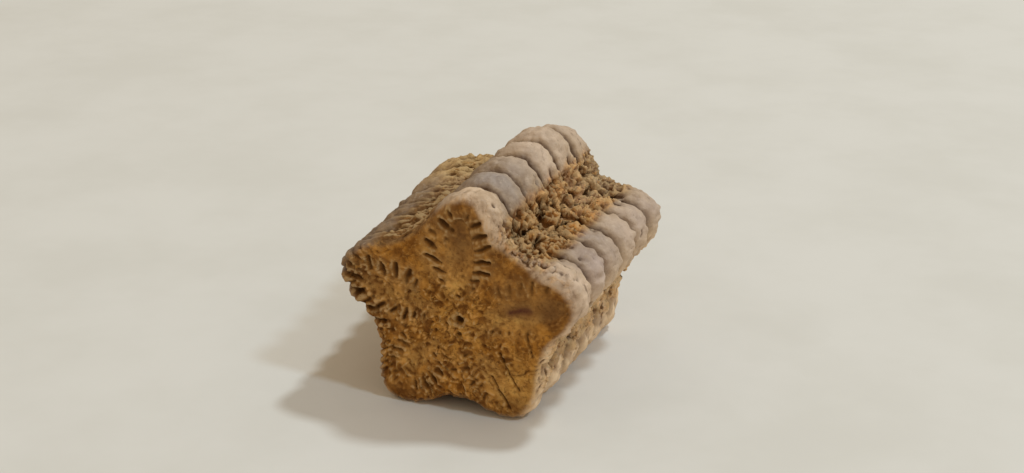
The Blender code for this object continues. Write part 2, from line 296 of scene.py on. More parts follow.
@dataclass
class StemForm:
    """The stem's large form: its star section, its length, and the joints between its columnals."""

    columnals: int = 6
    thickness: float = 1.65 * MM
    axis_height: float = 3.78 * MM
    axis_offset: float = 0.28 * MM
    arm_roundness: float = 1.15
    bulge_in_valleys: float = 0.12 * MM
    bulge_sharpness: float = 2.4
    suture_on_arms: float = 0.22 * MM
    suture_in_valleys: float = 0.16 * MM
    suture_half_width: float = 0.22 * MM
    suture_wander: float = 0.07 * MM
    suture_chain: float = 11.0
    suture_unevenness: float = 0.45
    suture_lean: float = 0.34 * MM
    lean_bearing: float = 86.0
    lean_spread: float = 38.0
    deep_suture_bearing: float = 350.0
    deep_suture_spread: float = 48.0
    deep_suture: float = 1.35
    front_edge_depth: float = 0.45 * MM
    front_edge_width: float = 0.10
    worn_edge_width: float = 0.17
    worn_edge_bearing: float = 52.0
    worn_edge_spread: float = 38.0
    far_edge_depth: float = 0.75 * MM
    far_edge_width: float = 0.17

    @property
    def length(self) -> float:
        """Return the whole stem's length."""
        return self.columnals * self.thickness

    def bearing(self, arm: Arm, along: Field | float) -> Field:
        """Return an arm's bearing in radians at a distance along the stem."""
        return np.radians(arm.bearing + arm.end_lean * smooth_step(self.length * 0.60, self.length * 0.95, along))

    def reach(self, arm: Arm, along: Field | float) -> Field:
        """Return how far an arm's tip is from the axis at a distance along the stem."""
        worn = arm.end_wear * smooth_step(self.length * 0.76, self.length * 0.96, along)
        return arm.reach + arm.growth * along / self.thickness - worn

    def star(self, theta: Field, along: Field) -> tuple[Field, Field, Field]:
        """Work out the smooth star section.

        Args:
            theta: Angle of each point about the axis.
            along: Its distance from the star face.

        Returns:
            The section's radius, how much of an arm (1) or a valley (0) each point is on, and the bulge there.
        """
        radius, armness, bulge = (np.zeros_like(theta) for _ in range(3))
        for index, arm in enumerate(ARMS):
            following = ARMS[(index + 1) % len(ARMS)]
            start = self.bearing(arm, along)
            between = (self.bearing(following, along) - start) % (2.0 * math.pi)
            share = ((theta - start) % (2.0 * math.pi)) / between
            here, nearer = share < 1.0, share < 0.5
            crest = (0.5 * (1.0 + np.cos(2.0 * math.pi * share))) ** self.arm_roundness
            tip = np.where(nearer, self.reach(arm, along), self.reach(following, along))
            knuckle = np.where(nearer, arm.bulge, following.bulge)
            radius = np.where(here, arm.valley + (tip - arm.valley) * crest, radius)
            armness = np.where(here, crest, armness)
            bulge = np.where(here, self.bulge_in_valleys + (knuckle - self.bulge_in_valleys) * crest, bulge)
        return radius, armness, bulge

    def to_suture(self, along: Field) -> Field:
        """Return each point's distance from the nearest suture."""
        return (0.5 - np.abs((along / self.thickness) % 1.0 - 0.5)) * self.thickness

    def inset(self, theta: Field, along: Field, armness: Field, bulge: Field) -> Field:
        """Work out how far the side is drawn in towards and at the sutures.

        Args:
            theta: Angle about the axis.
            along: Distance from the star face.
            armness: 1 on an arm, 0 in a valley.
            bulge: How far each columnal's middle stands out past its edges.

        Returns:
            The inset of each point.
        """
        gap = self.to_suture(along)
        rounded = bulge * (1.0 - 2.0 * gap / self.thickness) ** self.bulge_sharpness
        depth = self.suture_in_valleys + (self.suture_on_arms - self.suture_in_valleys) * armness
        depth *= 1.0 + self.deep_suture * self.deepened(theta)
        return np.where(self.between_ends(along), rounded, 0.0) + depth * self.crease(theta, along)

    def between_ends(self, along: Field) -> Field:
        """Return whether each point is past the first columnal's middle and short of the last one's."""
        return (along > 0.5 * self.thickness) & (along < self.length - 0.5 * self.thickness)

    def deepened(self, theta: Field) -> Field:
        """Return how much deeper and wider the sutures are at each bearing, most on the right arm."""
        return near_bearing(theta, self.deep_suture_bearing, self.deep_suture_spread)

    def crease(self, theta: Field, along: Field) -> Field:
        """Return how much each point is in a suture's crease, from 0 to 1, in a chain of wider and narrower spots."""
        chain = on_section(np.ones_like(theta), theta, 3.7 * np.round(along / self.thickness)) * self.suture_chain
        uneven = self.suture_unevenness * Grain.rough(chain, 1.0, 9, 2)
        width = self.suture_half_width * (1.0 + 0.5 * self.deepened(theta) + uneven)
        return np.where(self.between_ends(along), 1.0 - smooth_step(0.0, width, self.to_suture(along)), 0.0)

    def edge_width(self, theta: Field) -> Field:
        """Return the rounded front edge's width as a share of the radius: broad where it is worn."""
        worn = near_bearing(theta, self.worn_edge_bearing, self.worn_edge_spread)
        return self.front_edge_width + (self.worn_edge_width - self.front_edge_width) * worn


@dataclass(frozen=True)
class Places:
    """The skin's points before any relief: where each stands on the star and along the stem, and what is near it."""

    theta: Field
    share: Field
    along: Field
    bent: Field
    star: Field
    armness: Field
    inset: Field
    plain: Field
    on_side: Field
    at_front: Field


@dataclass
class RingGrid:
    """Rings of points from the middle of the star face, along the side, to the middle of the far face."""

    form: StemForm
    around: int = 500
    face_rings: int = 70
    edge_rings: int = 8
    rings_per_columnal: int = 18
    ring_crowding: float = 0.40
    least_gap: float = 0.03 * MM
    far_rings: int = 14
    crowded_bearing: float = 42.0
    crowded_spread: float = 75.0
    crowding: float = 0.9
    theta: Field = field(init=False)
    share: Field = field(init=False)
    along: Field = field(init=False)

    def __post_init__(self) -> None:
        """Lay out every ring."""
        angles = self._even_angles()
        rows = self._rows(angles)
        self.share = np.vstack([share for share, _ in rows])
        self.along = np.vstack([along for _, along in rows])
        self.theta = np.tile(angles, (len(rows), 1))

    @property
    def rings(self) -> int:
        """Return the number of rings."""
        return len(self.theta)

    def _even_angles(self) -> Field:
        """Space the angles along the star's outline, closer together on the pitted side.

        Returns:
            One angle for each point of a ring.
        """
        fine = np.linspace(0.0, 2.0 * math.pi, 7201)
        radius, _, _ = self.form.star(fine, np.full_like(fine, 0.5 * self.form.length))
        outline = np.column_stack((radius * np.cos(fine), radius * np.sin(fine)))
        crowded = 1.0 + self.crowding * bearing_share(fine, self.crowded_bearing, 0.5 * self.crowded_spread,
                                                      1.2 * self.crowded_spread)
        steps = np.linalg.norm(np.diff(outline, axis=0), axis=1) * 0.5 * (crowded[1:] + crowded[:-1])
        run = np.concatenate(([0.0], np.cumsum(steps)))
        return np.interp(np.arange(self.around) * run[-1] / self.around, run, fine)

    def _side_places(self) -> list[float]:
        """List the side rings' distances along the stem, crowded together near the sutures.

        Returns:
            The distances, front to far end.
        """
        turns = [2.0 * math.pi * ring / self.rings_per_columnal
                 for ring in range(self.form.columnals * self.rings_per_columnal)]
        places = [self.form.thickness * (turn - self.ring_crowding * math.sin(turn)) / (2.0 * math.pi)
                  for turn in turns]
        near = self.form.front_edge_depth + self.least_gap
        far = self.form.length - self.form.far_edge_depth - self.least_gap
        return [place for place in places if near < place < far]

    def _rows(self, angles: Field) -> list[tuple[Field, Field]]:
        """Lay out the rings from the star face to the far face.

        Args:
            angles: The angle of each point of a ring.

        Returns:
            For each ring, its points' shares of the star's radius and their distances along the stem.
        """
        form = self.form
        width = form.edge_width(angles)
        even = np.ones_like(angles)
        turns = [0.5 * math.pi * ring / self.edge_rings for ring in range(self.edge_rings + 1)]
        rows = [((1.0 - width) * ring / self.face_rings, 0.0 * even) for ring in range(1, self.face_rings + 1)]
        for turn in turns[1:]:
            rows.append((1.0 - width * (1.0 - math.sin(turn)), form.front_edge_depth * (1.0 - math.cos(turn)) * even))
        rows += [(even, along * even) for along in self._side_places()]
        for turn in reversed(turns):
            share = (1.0 - form.far_edge_width * (1.0 - math.sin(turn))) * even
            rows.append((share, (form.length - form.far_edge_depth * (1.0 - math.cos(turn))) * even))
        for ring in range(self.far_rings - 1, 0, -1):
            rows.append(((1.0 - form.far_edge_width) * ring / self.far_rings * even, form.length * even))
        return rows

    def blur(self, values: Field, passes: int) -> Field:
        """Average a value with its neighbours on the grid.

        Args:
            values: One value for each point of the grid.
            passes: How many times to average.

        Returns:
            The averaged values.
        """
        for _ in range(passes):
            padded = np.vstack((values[:1], values, values[-1:]))
            sides = 0.25 * (np.roll(values, 1, 1) + np.roll(values, -1, 1))
            values = 0.5 * (0.5 * values + sides) + 0.25 * (padded[:-2] + padded[2:])
        return values

    def normals(self, points: Field) -> Field:
        """Work out the outward direction at each grid point.

        Args:
            points: Positions on the grid, ring by ring.

        Returns:
            Unit vectors on the same grid.
        """
        around = np.roll(points, -1, 1) - np.roll(points, 1, 1)
        padded = np.concatenate((points[:1].mean(axis=1, keepdims=True).repeat(self.around, 1), points,
                                 points[-1:].mean(axis=1, keepdims=True).repeat(self.around, 1)))
        onward = padded[2:] - padded[:-2]
        outward = np.cross(onward, around)
        return outward / np.maximum(np.linalg.norm(outward, axis=2, keepdims=True), 1e-12)

    def areas(self, points: Field) -> Field:
        """Return roughly how much surface each grid point stands for."""
        around = np.roll(points, -1, 1) - points
        onward = np.concatenate((points[1:] - points[:-1], points[-1:] - points[-2:-1]))
        return np.linalg.norm(np.cross(onward, around), axis=2)


@dataclass
class Petal:
    """One petal of the far face: a sunken floor along an arm, edged with slots between ridges."""

    arm: Arm
    seed: int
    start: float = 0.60 * MM
    end_share: float = 0.84
    half_width: float = 0.62 * MM
    fullness: float = 0.75
    widest: float = 1.25
    floor_depth: float = 0.10 * MM
    slot_start: float = 1.30 * MM
    slot_taper: float = 0.5
    shortest_slot: float = 0.20 * MM
    ridge_height: float = 0.05 * MM
    lean_near_axis: float = 14.0
    lean_near_tip: float = 52.0
    tip_angles: tuple[float, ...] = (-34.0, 0.0, 34.0)
    tip_length: float = 0.38 * MM
    room_share: float = 0.66
    full_slot: float = 0.20 * MM
    ridge_rise: float = 0.12 * MM
    end_fade: float = 0.50 * MM

    @property
    def end(self) -> float:
        """Return how far from the axis the floor ends."""
        return self.end_share * self.arm.reach

    def edge(self, outward: Field | float) -> Field:
        """Return half the floor's width at a distance from the axis."""
        share = np.clip((outward - self.start) / (self.end - self.start), 0.0, 1.0)
        return self.half_width * np.sin(math.pi * share ** self.widest) ** self.fullness

    def slots(self) -> list["Scratch"]:
        """Place each slot.

        Returns:
            The slots, in distances along the arm and to its left.
        """
        dice = random.Random(self.seed)
        looks = self.arm.crenulae
        uneven = looks.unevenness
        found = []
        count = int((self.end - self.slot_start) / looks.pitch)
        for step in range(count):
            share = step / max(count - 1, 1)
            lean = math.radians(self.lean_near_axis + (self.lean_near_tip - self.lean_near_axis) * share ** 2)
            for side, depth, length in ((1.0, looks.left_depth, looks.left_length),
                                        (-1.0, looks.right_depth, looks.right_length)):
                outward = self.slot_start + (step + uneven * dice.uniform(-0.6, 0.6)) * looks.pitch
                edge = float(self.edge(outward))
                room = outward * math.tan(math.pi / len(ARMS)) - edge
                run = min(length * (1.0 + uneven * dice.uniform(-1.4, 0.6)), self.room_share * room)
                slant = lean + uneven * dice.uniform(-0.5, 0.5)
                half = looks.half_width * dice.uniform(0.8, 1.25)
                deep = depth * (1.0 + uneven * dice.uniform(-1.4, 0.8)) * (1.0 + (looks.tip_strength - 1.0) * share)
                start = (outward, side * edge)
                end = (outward + run * math.sin(slant), side * (edge + run * math.cos(slant)))
                if run > self.shortest_slot:
                    found.append(Scratch(start, end, half, deep))
        for angle in self.tip_angles:
            turn = math.radians(angle)
            start = (self.end - 0.5 * looks.pitch * abs(math.sin(turn)), 0.6 * looks.pitch * math.sin(turn))
            end = (start[0] + self.tip_length * math.cos(turn), start[1] + self.tip_length * math.sin(turn))
            deep = 0.5 * (looks.left_depth + looks.right_depth) * looks.tip_strength
            found.append(Scratch(start, end, looks.half_width, deep))
        return found

    def relief(self, across: Field, up: Field) -> dict[str, Field]:
        """Shape the petal.

        Args:
            across: Distance to the right of the axis.
            up: Distance above it.

        Returns:
            Its height, and how much each point is on its floor, in a slot and on a ridge between slots.
        """
        outward, sideways = along_arm(across, up, self.arm.bearing)
        inside = self.edge(outward) - np.abs(sideways)
        floor = np.where(outward > 0.0, smooth_step(-self.floor_depth, self.floor_depth, inside), 0.0)
        depth = self.floor_depth * floor
        slotted = np.zeros_like(across)
        for slot in self.slots():
            gap, place = segment_gap(outward, sideways, slot.start, slot.end)
            hollow = groove(gap, slot.half_width) * (1.0 - self.slot_taper * place)
            depth = np.maximum(depth, slot.depth * hollow)
            slotted = np.maximum(slotted, hollow * min(slot.depth / self.full_slot, 1.0))
        looks = self.arm.crenulae
        length = np.where(sideways > 0.0, looks.left_length, looks.right_length)
        strength = np.where(sideways > 0.0, looks.left_depth, looks.right_depth) / self.full_slot
        band = span(-inside, (0.0, self.ridge_rise), (0.8 * length, 1.3 * length))
        reach = span(outward, (0.9 * self.slot_start, 1.3 * self.slot_start), (self.end, self.end + self.end_fade))
        ridge = band * reach * np.minimum(strength, 1.0) * (1.0 - slotted)
        return {"height": self.ridge_height * ridge - depth, "floor": floor, "slotted": slotted, "ridge": ridge}


def segment_gap(across: Field, up: Field, start: tuple[float, float],
                end: tuple[float, float]) -> tuple[Field, Field]:
    """Measure from points in a plane to a straight line between two ends.

    Args:
        across: First coordinate of the points.
        up: Second coordinate.
        start: One end of the line.
        end: The other end.

    Returns:
        The distance of each point, and how far along the line its nearest place is, from 0 to 1.
    """
    run = (end[0] - start[0], end[1] - start[1])
    share = ((across - start[0]) * run[0] + (up - start[1]) * run[1]) / (run[0] ** 2 + run[1] ** 2)
    share = np.clip(share, 0.0, 1.0)
    return np.hypot(across - start[0] - share * run[0], up - start[1] - share * run[1]), share


@dataclass(frozen=True)
class Scratch:
    """A straight hollow on the star face, in distances right of and above the axis, or along and beside an arm."""

    start: tuple[float, float]
    end: tuple[float, float]
    half_width: float
    depth: float


@dataclass(frozen=True)
class Slot:
    """A slot (or, with a negative depth, a raised thread) of the star face, all in millimetres and degrees.

    It starts across and up from the axis and runs along a bearing.
    """

    across: float
    up: float
    bearing: float
    length: float
    half_width: float = 0.10
    depth: float = 0.16

    def lay(self, across: Field, up: Field) -> tuple[Field, Field]:
        """Measure from points to the slot.

        Args:
            across: Distance to the right of the axis.
            up: Distance above it.

        Returns:
            Each point's distance from the slot's middle line, and how much it is in the slot: lens-shaped, fading
            towards the slot's inner end.
        """
        turn = math.radians(self.bearing)
        start = (self.across * MM, self.up * MM)
        end = (start[0] + self.length * MM * math.cos(turn), start[1] + self.length * MM * math.sin(turn))
        gap, place = segment_gap(across, up, start, end)
        lens = 0.62 + 0.38 * np.sin(math.pi * place ** 0.8)
        return gap, groove(gap, self.half_width * MM * lens) * (0.60 + 0.40 * smooth_step(0.0, 0.6, place))


@dataclass(frozen=True)
class StarPetal:
    """One petal of the star face: its floor's bearing, ends, half width and depth in millimetres, and its slots.

    Threads are the fine raised lines between worn slots. Pale says how light the ridges beside the slots are.
    """

    bearing: float
    start: float
    end: float
    half_width: float
    floor_depth: float
    pale: float
    slots: tuple[Slot, ...]
    threads: tuple[Slot, ...] = ()
    fullness: float = 0.45

    def floor(self, across: Field, up: Field) -> Field:
        """Return how much each point is on the petal's sunken floor."""
        outward, sideways = along_arm(across, up, self.bearing)
        share = np.clip((outward / MM - self.start) / (self.end - self.start), 0.0, 1.0)
        edge = self.half_width * MM * np.sin(math.pi * share) ** self.fullness
        return smooth_step(-0.10 * MM, 0.10 * MM, edge - np.abs(sideways)) * (share > 0.0) * (share < 1.0)


STAR_PETALS: tuple[StarPetal, ...] = (
    StarPetal(89.0, 0.9, 4.0, 0.56, 0.12, 0.35, (
        Slot(0.48, 1.33, 10, 0.16, 0.08, 0.10), Slot(0.46, 1.66, 6, 0.34, 0.09, 0.14),
        Slot(0.58, 2.00, 3, 0.60, 0.09, 0.22), Slot(0.60, 2.39, 8, 0.62, 0.10, 0.25),
        Slot(0.68, 2.84, 25, 0.62, 0.10, 0.22), Slot(0.58, 3.32, 20, 0.54, 0.12, 0.24),
        Slot(0.42, 3.66, 32, 0.52, 0.12, 0.22), Slot(0.30, 4.00, 62, 0.25, 0.09, 0.12),
        Slot(-0.55, 1.45, 150, 0.22, 0.09, 0.14), Slot(-0.54, 1.82, 160, 0.45, 0.09, 0.18),
        Slot(-0.66, 2.19, 157, 0.66, 0.09, 0.22), Slot(-0.88, 2.76, 148, 0.46, 0.13, 0.22),
        Slot(-0.86, 3.28, 150, 0.26, 0.11, 0.14), Slot(-0.28, 3.48, 137, 0.55, 0.13, 0.24),
        Slot(-0.20, 4.02, 128, 0.26, 0.08, 0.16), Slot(-0.46, 3.05, 105, 0.16, 0.09, 0.12),
    )),
    StarPetal(166.0, 0.9, 4.7, 0.40, 0.07, 0.25, (
        Slot(-1.80, 1.02, 70, 0.34, 0.09, 0.14), Slot(-2.11, 1.22, 73, 0.50, 0.13, 0.22),
        Slot(-2.50, 1.36, 94, 0.52, 0.11, 0.24), Slot(-2.97, 1.36, 106, 0.54, 0.10, 0.22),
        Slot(-3.55, 1.50, 102, 0.48, 0.09, 0.20), Slot(-4.02, 1.45, 100, 0.28, 0.09, 0.10),
        Slot(-4.42, 1.48, 115, 0.26, 0.08, 0.16), Slot(-4.63, 1.08, 108, 0.46, 0.12, 0.22),
        Slot(-1.44, -0.16, 80, 0.16, 0.09, 0.12), Slot(-1.77, 0.12, 250, 0.30, 0.10, 0.18),
        Slot(-2.11, 0.15, 250, 0.42, 0.12, 0.22), Slot(-2.46, 0.16, 220, 0.38, 0.12, 0.20),
        Slot(-2.93, 0.28, 216, 0.55, 0.12, 0.22), Slot(-3.46, 0.42, 217, 0.58, 0.10, 0.20),
        Slot(-3.88, 0.66, 220, 0.55, 0.12, 0.24), Slot(-4.28, 0.88, 205, 0.42, 0.09, 0.20),
    )),
    StarPetal(226.0, 1.3, 3.6, 0.36, 0.05, 0.8, (
        Slot(-2.05, -1.40, 158, 0.48, 0.10, 0.15), Slot(-2.25, -1.62, 178, 0.50, 0.09, 0.16),
        Slot(-2.42, -1.98, 181, 0.62, 0.06, 0.12), Slot(-2.40, -2.45, 210, 0.36, 0.07, 0.12),
        Slot(-2.15, -1.08, 140, 0.30, 0.08, 0.12), Slot(-2.55, -2.75, 235, 0.28, 0.06, 0.10),
        Slot(-1.82, -2.70, 275, 0.46, 0.08, 0.15), Slot(-1.50, -2.62, 290, 0.42, 0.09, 0.16),
        Slot(-1.24, -2.32, 302, 0.50, 0.11, 0.18), Slot(-1.02, -2.08, 318, 0.42, 0.11, 0.18),
        Slot(-0.95, -1.82, 330, 0.22, 0.09, 0.14), Slot(-1.16, -1.50, 330, 0.24, 0.09, 0.14),
        Slot(-0.45, -2.12, 20, 0.32, 0.08, 0.14),
    ), (
        Slot(-1.88, -1.28, 153, 0.62, 0.045, -0.07), Slot(-2.20, -1.49, 176, 0.84, 0.04, -0.07),
        Slot(-2.42, -1.84, 184, 0.60, 0.04, -0.06), Slot(-2.05, -1.98, 228, 0.48, 0.04, -0.06),
        Slot(-1.53, -2.42, 304, 0.80, 0.05, -0.08), Slot(-1.05, -2.02, 310, 0.55, 0.04, -0.06),
        Slot(-1.66, -2.58, 285, 0.50, 0.04, -0.06), Slot(-0.75, -1.85, 325, 0.45, 0.04, -0.06),
    )),
    StarPetal(304.0, 1.4, 3.6, 0.40, 0.03, 0.6, (
        Slot(0.36, -1.30, 220, 0.20, 0.09, 0.14), Slot(0.48, -1.86, 200, 0.26, 0.10, 0.15),
        Slot(0.62, -2.30, 240, 0.28, 0.10, 0.15), Slot(0.92, -2.42, 225, 0.30, 0.08, 0.12),
        Slot(1.12, -2.76, 235, 0.30, 0.08, 0.12),
    ), (
        Slot(0.30, -1.62, 200, 0.30, 0.04, -0.06), Slot(0.52, -2.08, 225, 0.36, 0.04, -0.06),
        Slot(0.80, -2.48, 235, 0.36, 0.04, -0.06), Slot(1.06, -2.62, 240, 0.34, 0.04, -0.05),
        Slot(0.10, -2.00, 300, 0.40, 0.04, -0.05), Slot(0.30, -2.70, 260, 0.40, 0.04, -0.05),
    )),
    StarPetal(16.0, 1.0, 4.4, 0.50, 0.05, 0.45, (
        Slot(1.68, 1.08, 105, 0.50, 0.10, 0.09), Slot(2.02, 1.24, 92, 0.48, 0.13, 0.10),
        Slot(2.42, 1.46, 90, 0.42, 0.10, 0.10), Slot(2.86, 1.46, 88, 0.50, 0.12, 0.12),
        Slot(3.26, 1.50, 58, 0.40, 0.14, 0.12), Slot(1.05, -0.18, 270, 0.10, 0.08, 0.10),
        Slot(1.35, -0.16, 268, 0.14, 0.08, 0.11), Slot(1.67, -0.12, 265, 0.14, 0.08, 0.11),
        Slot(2.00, -0.06, 262, 0.15, 0.08, 0.11), Slot(2.38, 0.00, 262, 0.15, 0.08, 0.09),
        Slot(2.75, 0.06, 260, 0.15, 0.08, 0.08),
    )),
)


@dataclass(frozen=True)
class Spot:
    """A soft oval spot on the star face: its middle and its reach across and up in millimetres, and its strength."""

    across: float
    up: float
    wide: float
    high: float
    strength: float

    def share(self, points: Field) -> Field:
        """Return the spot's strength at each point."""
        across, up = points[:, 0] / MM, points[:, 2] / MM
        return self.strength * np.exp(-((across - self.across) / self.wide) ** 2 - ((up - self.up) / self.high) ** 2)


def strongest(spots: tuple[Spot, ...], points: Field) -> Field:
    """Return the strength of the strongest of some spots at each point."""
    return np.max([spot.share(points) for spot in spots], axis=0)


@dataclass(frozen=True)
class RimNotches:
    """A row of notches over the star face's rim: where it runs, and the notches' spacing and depth."""

    start_bearing: float
    end_bearing: float
    pitch: float
    depth: float
    radius: float = 4.6 * MM
    slant: float = 0.3
    sharpness: float = 2.5

    def hollow(self, at: Places) -> Field:
        """Return how deep the notches are at each point."""
        away = angle_from(at.theta, 0.5 * (self.start_bearing + self.end_bearing))
        run = np.abs(away) / math.radians(0.5 * (self.end_bearing - self.start_bearing))
        place = away * self.radius + self.slant * (at.star - self.radius)
        row = (0.5 + 0.5 * np.cos(2.0 * math.pi * place / self.pitch)) ** self.sharpness
        reach = smooth_step(0.74, 0.86, at.share) * (1.0 - smooth_step(0.5 * MM, 1.0 * MM, at.along))
        return self.depth * row * reach * (1.0 - smooth_step(0.8, 1.0, run))


@dataclass
class StarFace:
    """The bared star face: five petals, the canal, scratches, and the grainy texture of worn stone."""

    lumen_radius: float = 0.19 * MM
    lumen_depth: float = 0.34 * MM
    small_pit_drop: float = 0.58 * MM
    small_pit_radius: float = 0.12 * MM
    small_pit_depth: float = 0.15 * MM
    slot_depth: float = 0.80
    dark_slot: float = 0.20
    ridged_slot: float = 0.16
    ridge_reach: float = 0.24 * MM
    ridge_height: float = 0.06 * MM
    waver: float = 0.10 * MM
    waver_size: float = 0.50 * MM
    slot_waver: float = 0.6
    warp: float = 0.12 * MM
    warp_size: float = 0.40 * MM
    worm_size: float = 0.36 * MM
    grain_cell: float = 0.19 * MM
    worm_height: float = 0.105 * MM
    swell_size: float = 0.9 * MM
    swell_height: float = 0.07 * MM
    pit_cell: float = 0.36 * MM
    pit_chance: float = 0.45
    pit_depth: float = 0.07 * MM
    granule_cell: float = 0.24 * MM
    granule_reach: float = 1.1 * MM
    granule_height: float = 0.05 * MM
    scratches: tuple[Scratch, ...] = (
        Scratch((1.58 * MM, -1.05 * MM), (2.36 * MM, -2.45 * MM), 0.045 * MM, 0.10 * MM),
        Scratch((1.28 * MM, -2.05 * MM), (2.02 * MM, -3.30 * MM), 0.050 * MM, 0.11 * MM),
        Scratch((2.65 * MM, -0.05 * MM), (2.90 * MM, -0.95 * MM), 0.045 * MM, 0.06 * MM),
        Scratch((2.15 * MM, -1.85 * MM), (3.05 * MM, -1.50 * MM), 0.035 * MM, 0.04 * MM),
    )
    streak: Scratch = Scratch((2.00 * MM, 0.60 * MM), (2.70 * MM, 0.80 * MM), 0.18 * MM, 0.09 * MM)
    gold: tuple[Spot, ...] = (
        Spot(-0.10, 1.25, 0.50, 0.50, 1.0), Spot(-2.30, 0.70, 0.90, 0.38, 0.6), Spot(-2.05, -1.80, 0.80, 0.60, 0.5),
        Spot(1.90, 0.25, 1.10, 0.28, 0.7), Spot(-0.20, -1.50, 1.00, 0.70, 0.4), Spot(2.20, -2.40, 1.10, 1.10, 0.9),
        Spot(0.00, -0.20, 1.00, 0.90, 0.7), Spot(-1.10, 2.20, 0.50, 0.90, 0.4),
    )
    calm: tuple[Spot, ...] = (
        Spot(2.7, -2.5, 1.3, 1.5, 0.75), Spot(-2.6, -3.25, 0.8, 0.45, 0.75), Spot(3.2, 0.9, 1.4, 0.7, 0.45),
    )

    def relief(self, points: Field) -> dict[str, Field]:
        """Shape the face.

        Args:
            points: Places in space, measured from the axis.

        Returns:
            Height above the plain face, and the masks that the finish reads there.
        """
        across, up = points[:, 0], points[:, 2]
        shifts = [self.waver * Grain.rough(points, self.waver_size, seed, 2) for seed in (51, 53)]
        bent = (across + shifts[0], up + shifts[1])
        height, floor, slotted, ridge, pale = self._petals(across + self.slot_waver * shifts[0],
                                                           up + self.slot_waver * shifts[1])
        lumen = dip(np.hypot(across, up), self.lumen_radius)
        small_pit = dip(np.hypot(across, up + self.small_pit_drop), self.small_pit_radius)
        scratched = np.zeros_like(across)
        for scratch in self.scratches:
            hollow = groove(segment_gap(*bent, scratch.start, scratch.end)[0], scratch.half_width)
            height -= scratch.depth * hollow
            scratched = np.maximum(scratched, hollow)
        streak = groove(segment_gap(*bent, self.streak.start, self.streak.end)[0], self.streak.half_width)
        height -= self.streak.depth * streak
        grainy = self._graininess(points, floor) * (1.0 - np.maximum(lumen, small_pit)) * (1.0 - 0.7 * slotted)
        texture, crest, gap = self._texture(points)
        granules = self._granules(*bent, points)
        height += grainy * texture + self.granule_height * granules
        height -= self.lumen_depth * lumen + self.small_pit_depth * small_pit
        gold = strongest(self.gold, points) * (1.0 + 0.7 * Grain.rough(points, 0.5 * MM, 57))
        # The finish paints shade into slotted, lumen, scratched and gap, and paints the crests pale, partly as a
        # painted highlight.
        return {
            "height": height, "floor": floor, "slotted": slotted, "lumen": np.maximum(lumen, 0.8 * small_pit),
            "ridge": ridge, "scratched": scratched, "streak": streak, "grainy": grainy * (1.0 - slotted),
            "crest": np.clip(crest * grainy + 0.8 * granules + 0.8 * pale, 0.0, 1.0), "gap": gap * grainy,
            "gold": np.clip(gold, 0.0, 1.0),
        }

    def _petals(self, across: Field, up: Field) -> tuple[Field, Field, Field, Field, Field]:
        """Sink the petals' floors, cut their slots and raise their threads.

        Args:
            across: Distance to the right of the axis.
            up: Distance above it.

        Returns:
            The height of each point, and how much it is on a floor, in a slot, on a dark ridge and on a pale one.
        """
        height, floor, slotted, ridge, pale = (np.zeros_like(across) for _ in range(5))
        for petal in STAR_PETALS:
            sunk = petal.floor(across, up)
            floor = np.maximum(floor, sunk)
            height -= petal.floor_depth * MM * sunk
            for slot in petal.slots:
                gap, hollow = slot.lay(across, up)
                height -= self.slot_depth * slot.depth * MM * hollow
                slotted = np.maximum(slotted, hollow * min(slot.depth / self.dark_slot, 1.0))
                beside = groove(gap, self.ridge_reach) * min(slot.depth / self.ridged_slot, 1.0)
                ridge = np.maximum(ridge, (1.0 - petal.pale) * beside)
                pale = np.maximum(pale, petal.pale * beside)
            for thread in petal.threads:
                _, raised = thread.lay(across, up)
                height -= thread.depth * MM * raised
                pale = np.maximum(pale, raised)
        ridge, pale = ridge * (1.0 - slotted) * (1.0 - floor), pale * (1.0 - slotted)
        return height + self.ridge_height * np.maximum(ridge, pale), floor, slotted, ridge, pale

    def _granules(self, across: Field, up: Field, points: Field) -> Field:
        """Return the small pale granules round the canal."""
        band = span(np.hypot(across, up), (self.lumen_radius, 1.4 * self.lumen_radius),
                    (0.4 * self.granule_reach, self.granule_reach))
        near, own = Grain.cells(points, self.granule_cell, 55)
        return band * smooth_step(0.55, 0.15, near) * (0.4 + 0.6 * own)

    def _graininess(self, points: Field, floor: Field) -> Field:
        """Say how grainy each point is: most at the lower left and round the axis, least on the upper petals."""
        across, up = points[:, 0], points[:, 2]
        low = 1.0 - smooth_step(-0.6 * MM, 1.6 * MM, up + 0.45 * across)
        centre = 1.0 - smooth_step(1.2 * MM, 2.6 * MM, np.hypot(across, up))
        grainy = 0.42 + 0.58 * np.maximum(low, 0.9 * centre) - 0.20 * floor
        for spot in self.calm:
            grainy *= 1.0 - spot.share(points)
        return np.clip(grainy, 0.12, 1.0)

    def _texture(self, points: Field) -> tuple[Field, Field, Field]:
        """Shape the worm-eaten texture of short crests with gaps between them, which the finish paints pale, partly as
        a painted highlight, and dark with painted shade.

        Args:
            points: Places in space.

        Returns:
            The height of each point, and how much it is on a crest and in a gap.
        """
        bent = Grain.warp(points, self.warp, self.warp_size, 60)
        worms = 1.0 - 2.3 * np.abs(Grain.soft(bent, self.worm_size, 63))
        grains = 2.2 * Grain.domes(bent, self.grain_cell, 64, 0.5, 0.7)
        crest = 0.55 * worms + 0.55 * grains + 0.45 * Grain.soft(points, 0.7 * MM, 65)
        near, own = Grain.cells(bent, self.pit_cell, 67)
        pits = np.where(own > self.pit_chance, dip(near, 0.26 * (0.5 + own)), 0.0)
        swell = self.swell_height * Grain.rough(points, self.swell_size, 69, 2)
        height = self.worm_height * (crest - 0.2) + swell - self.pit_depth * pits
        return height, smooth_step(0.42, 0.80, crest) * (1.0 - pits), np.maximum(smooth_step(0.10, -0.35, crest), pits)


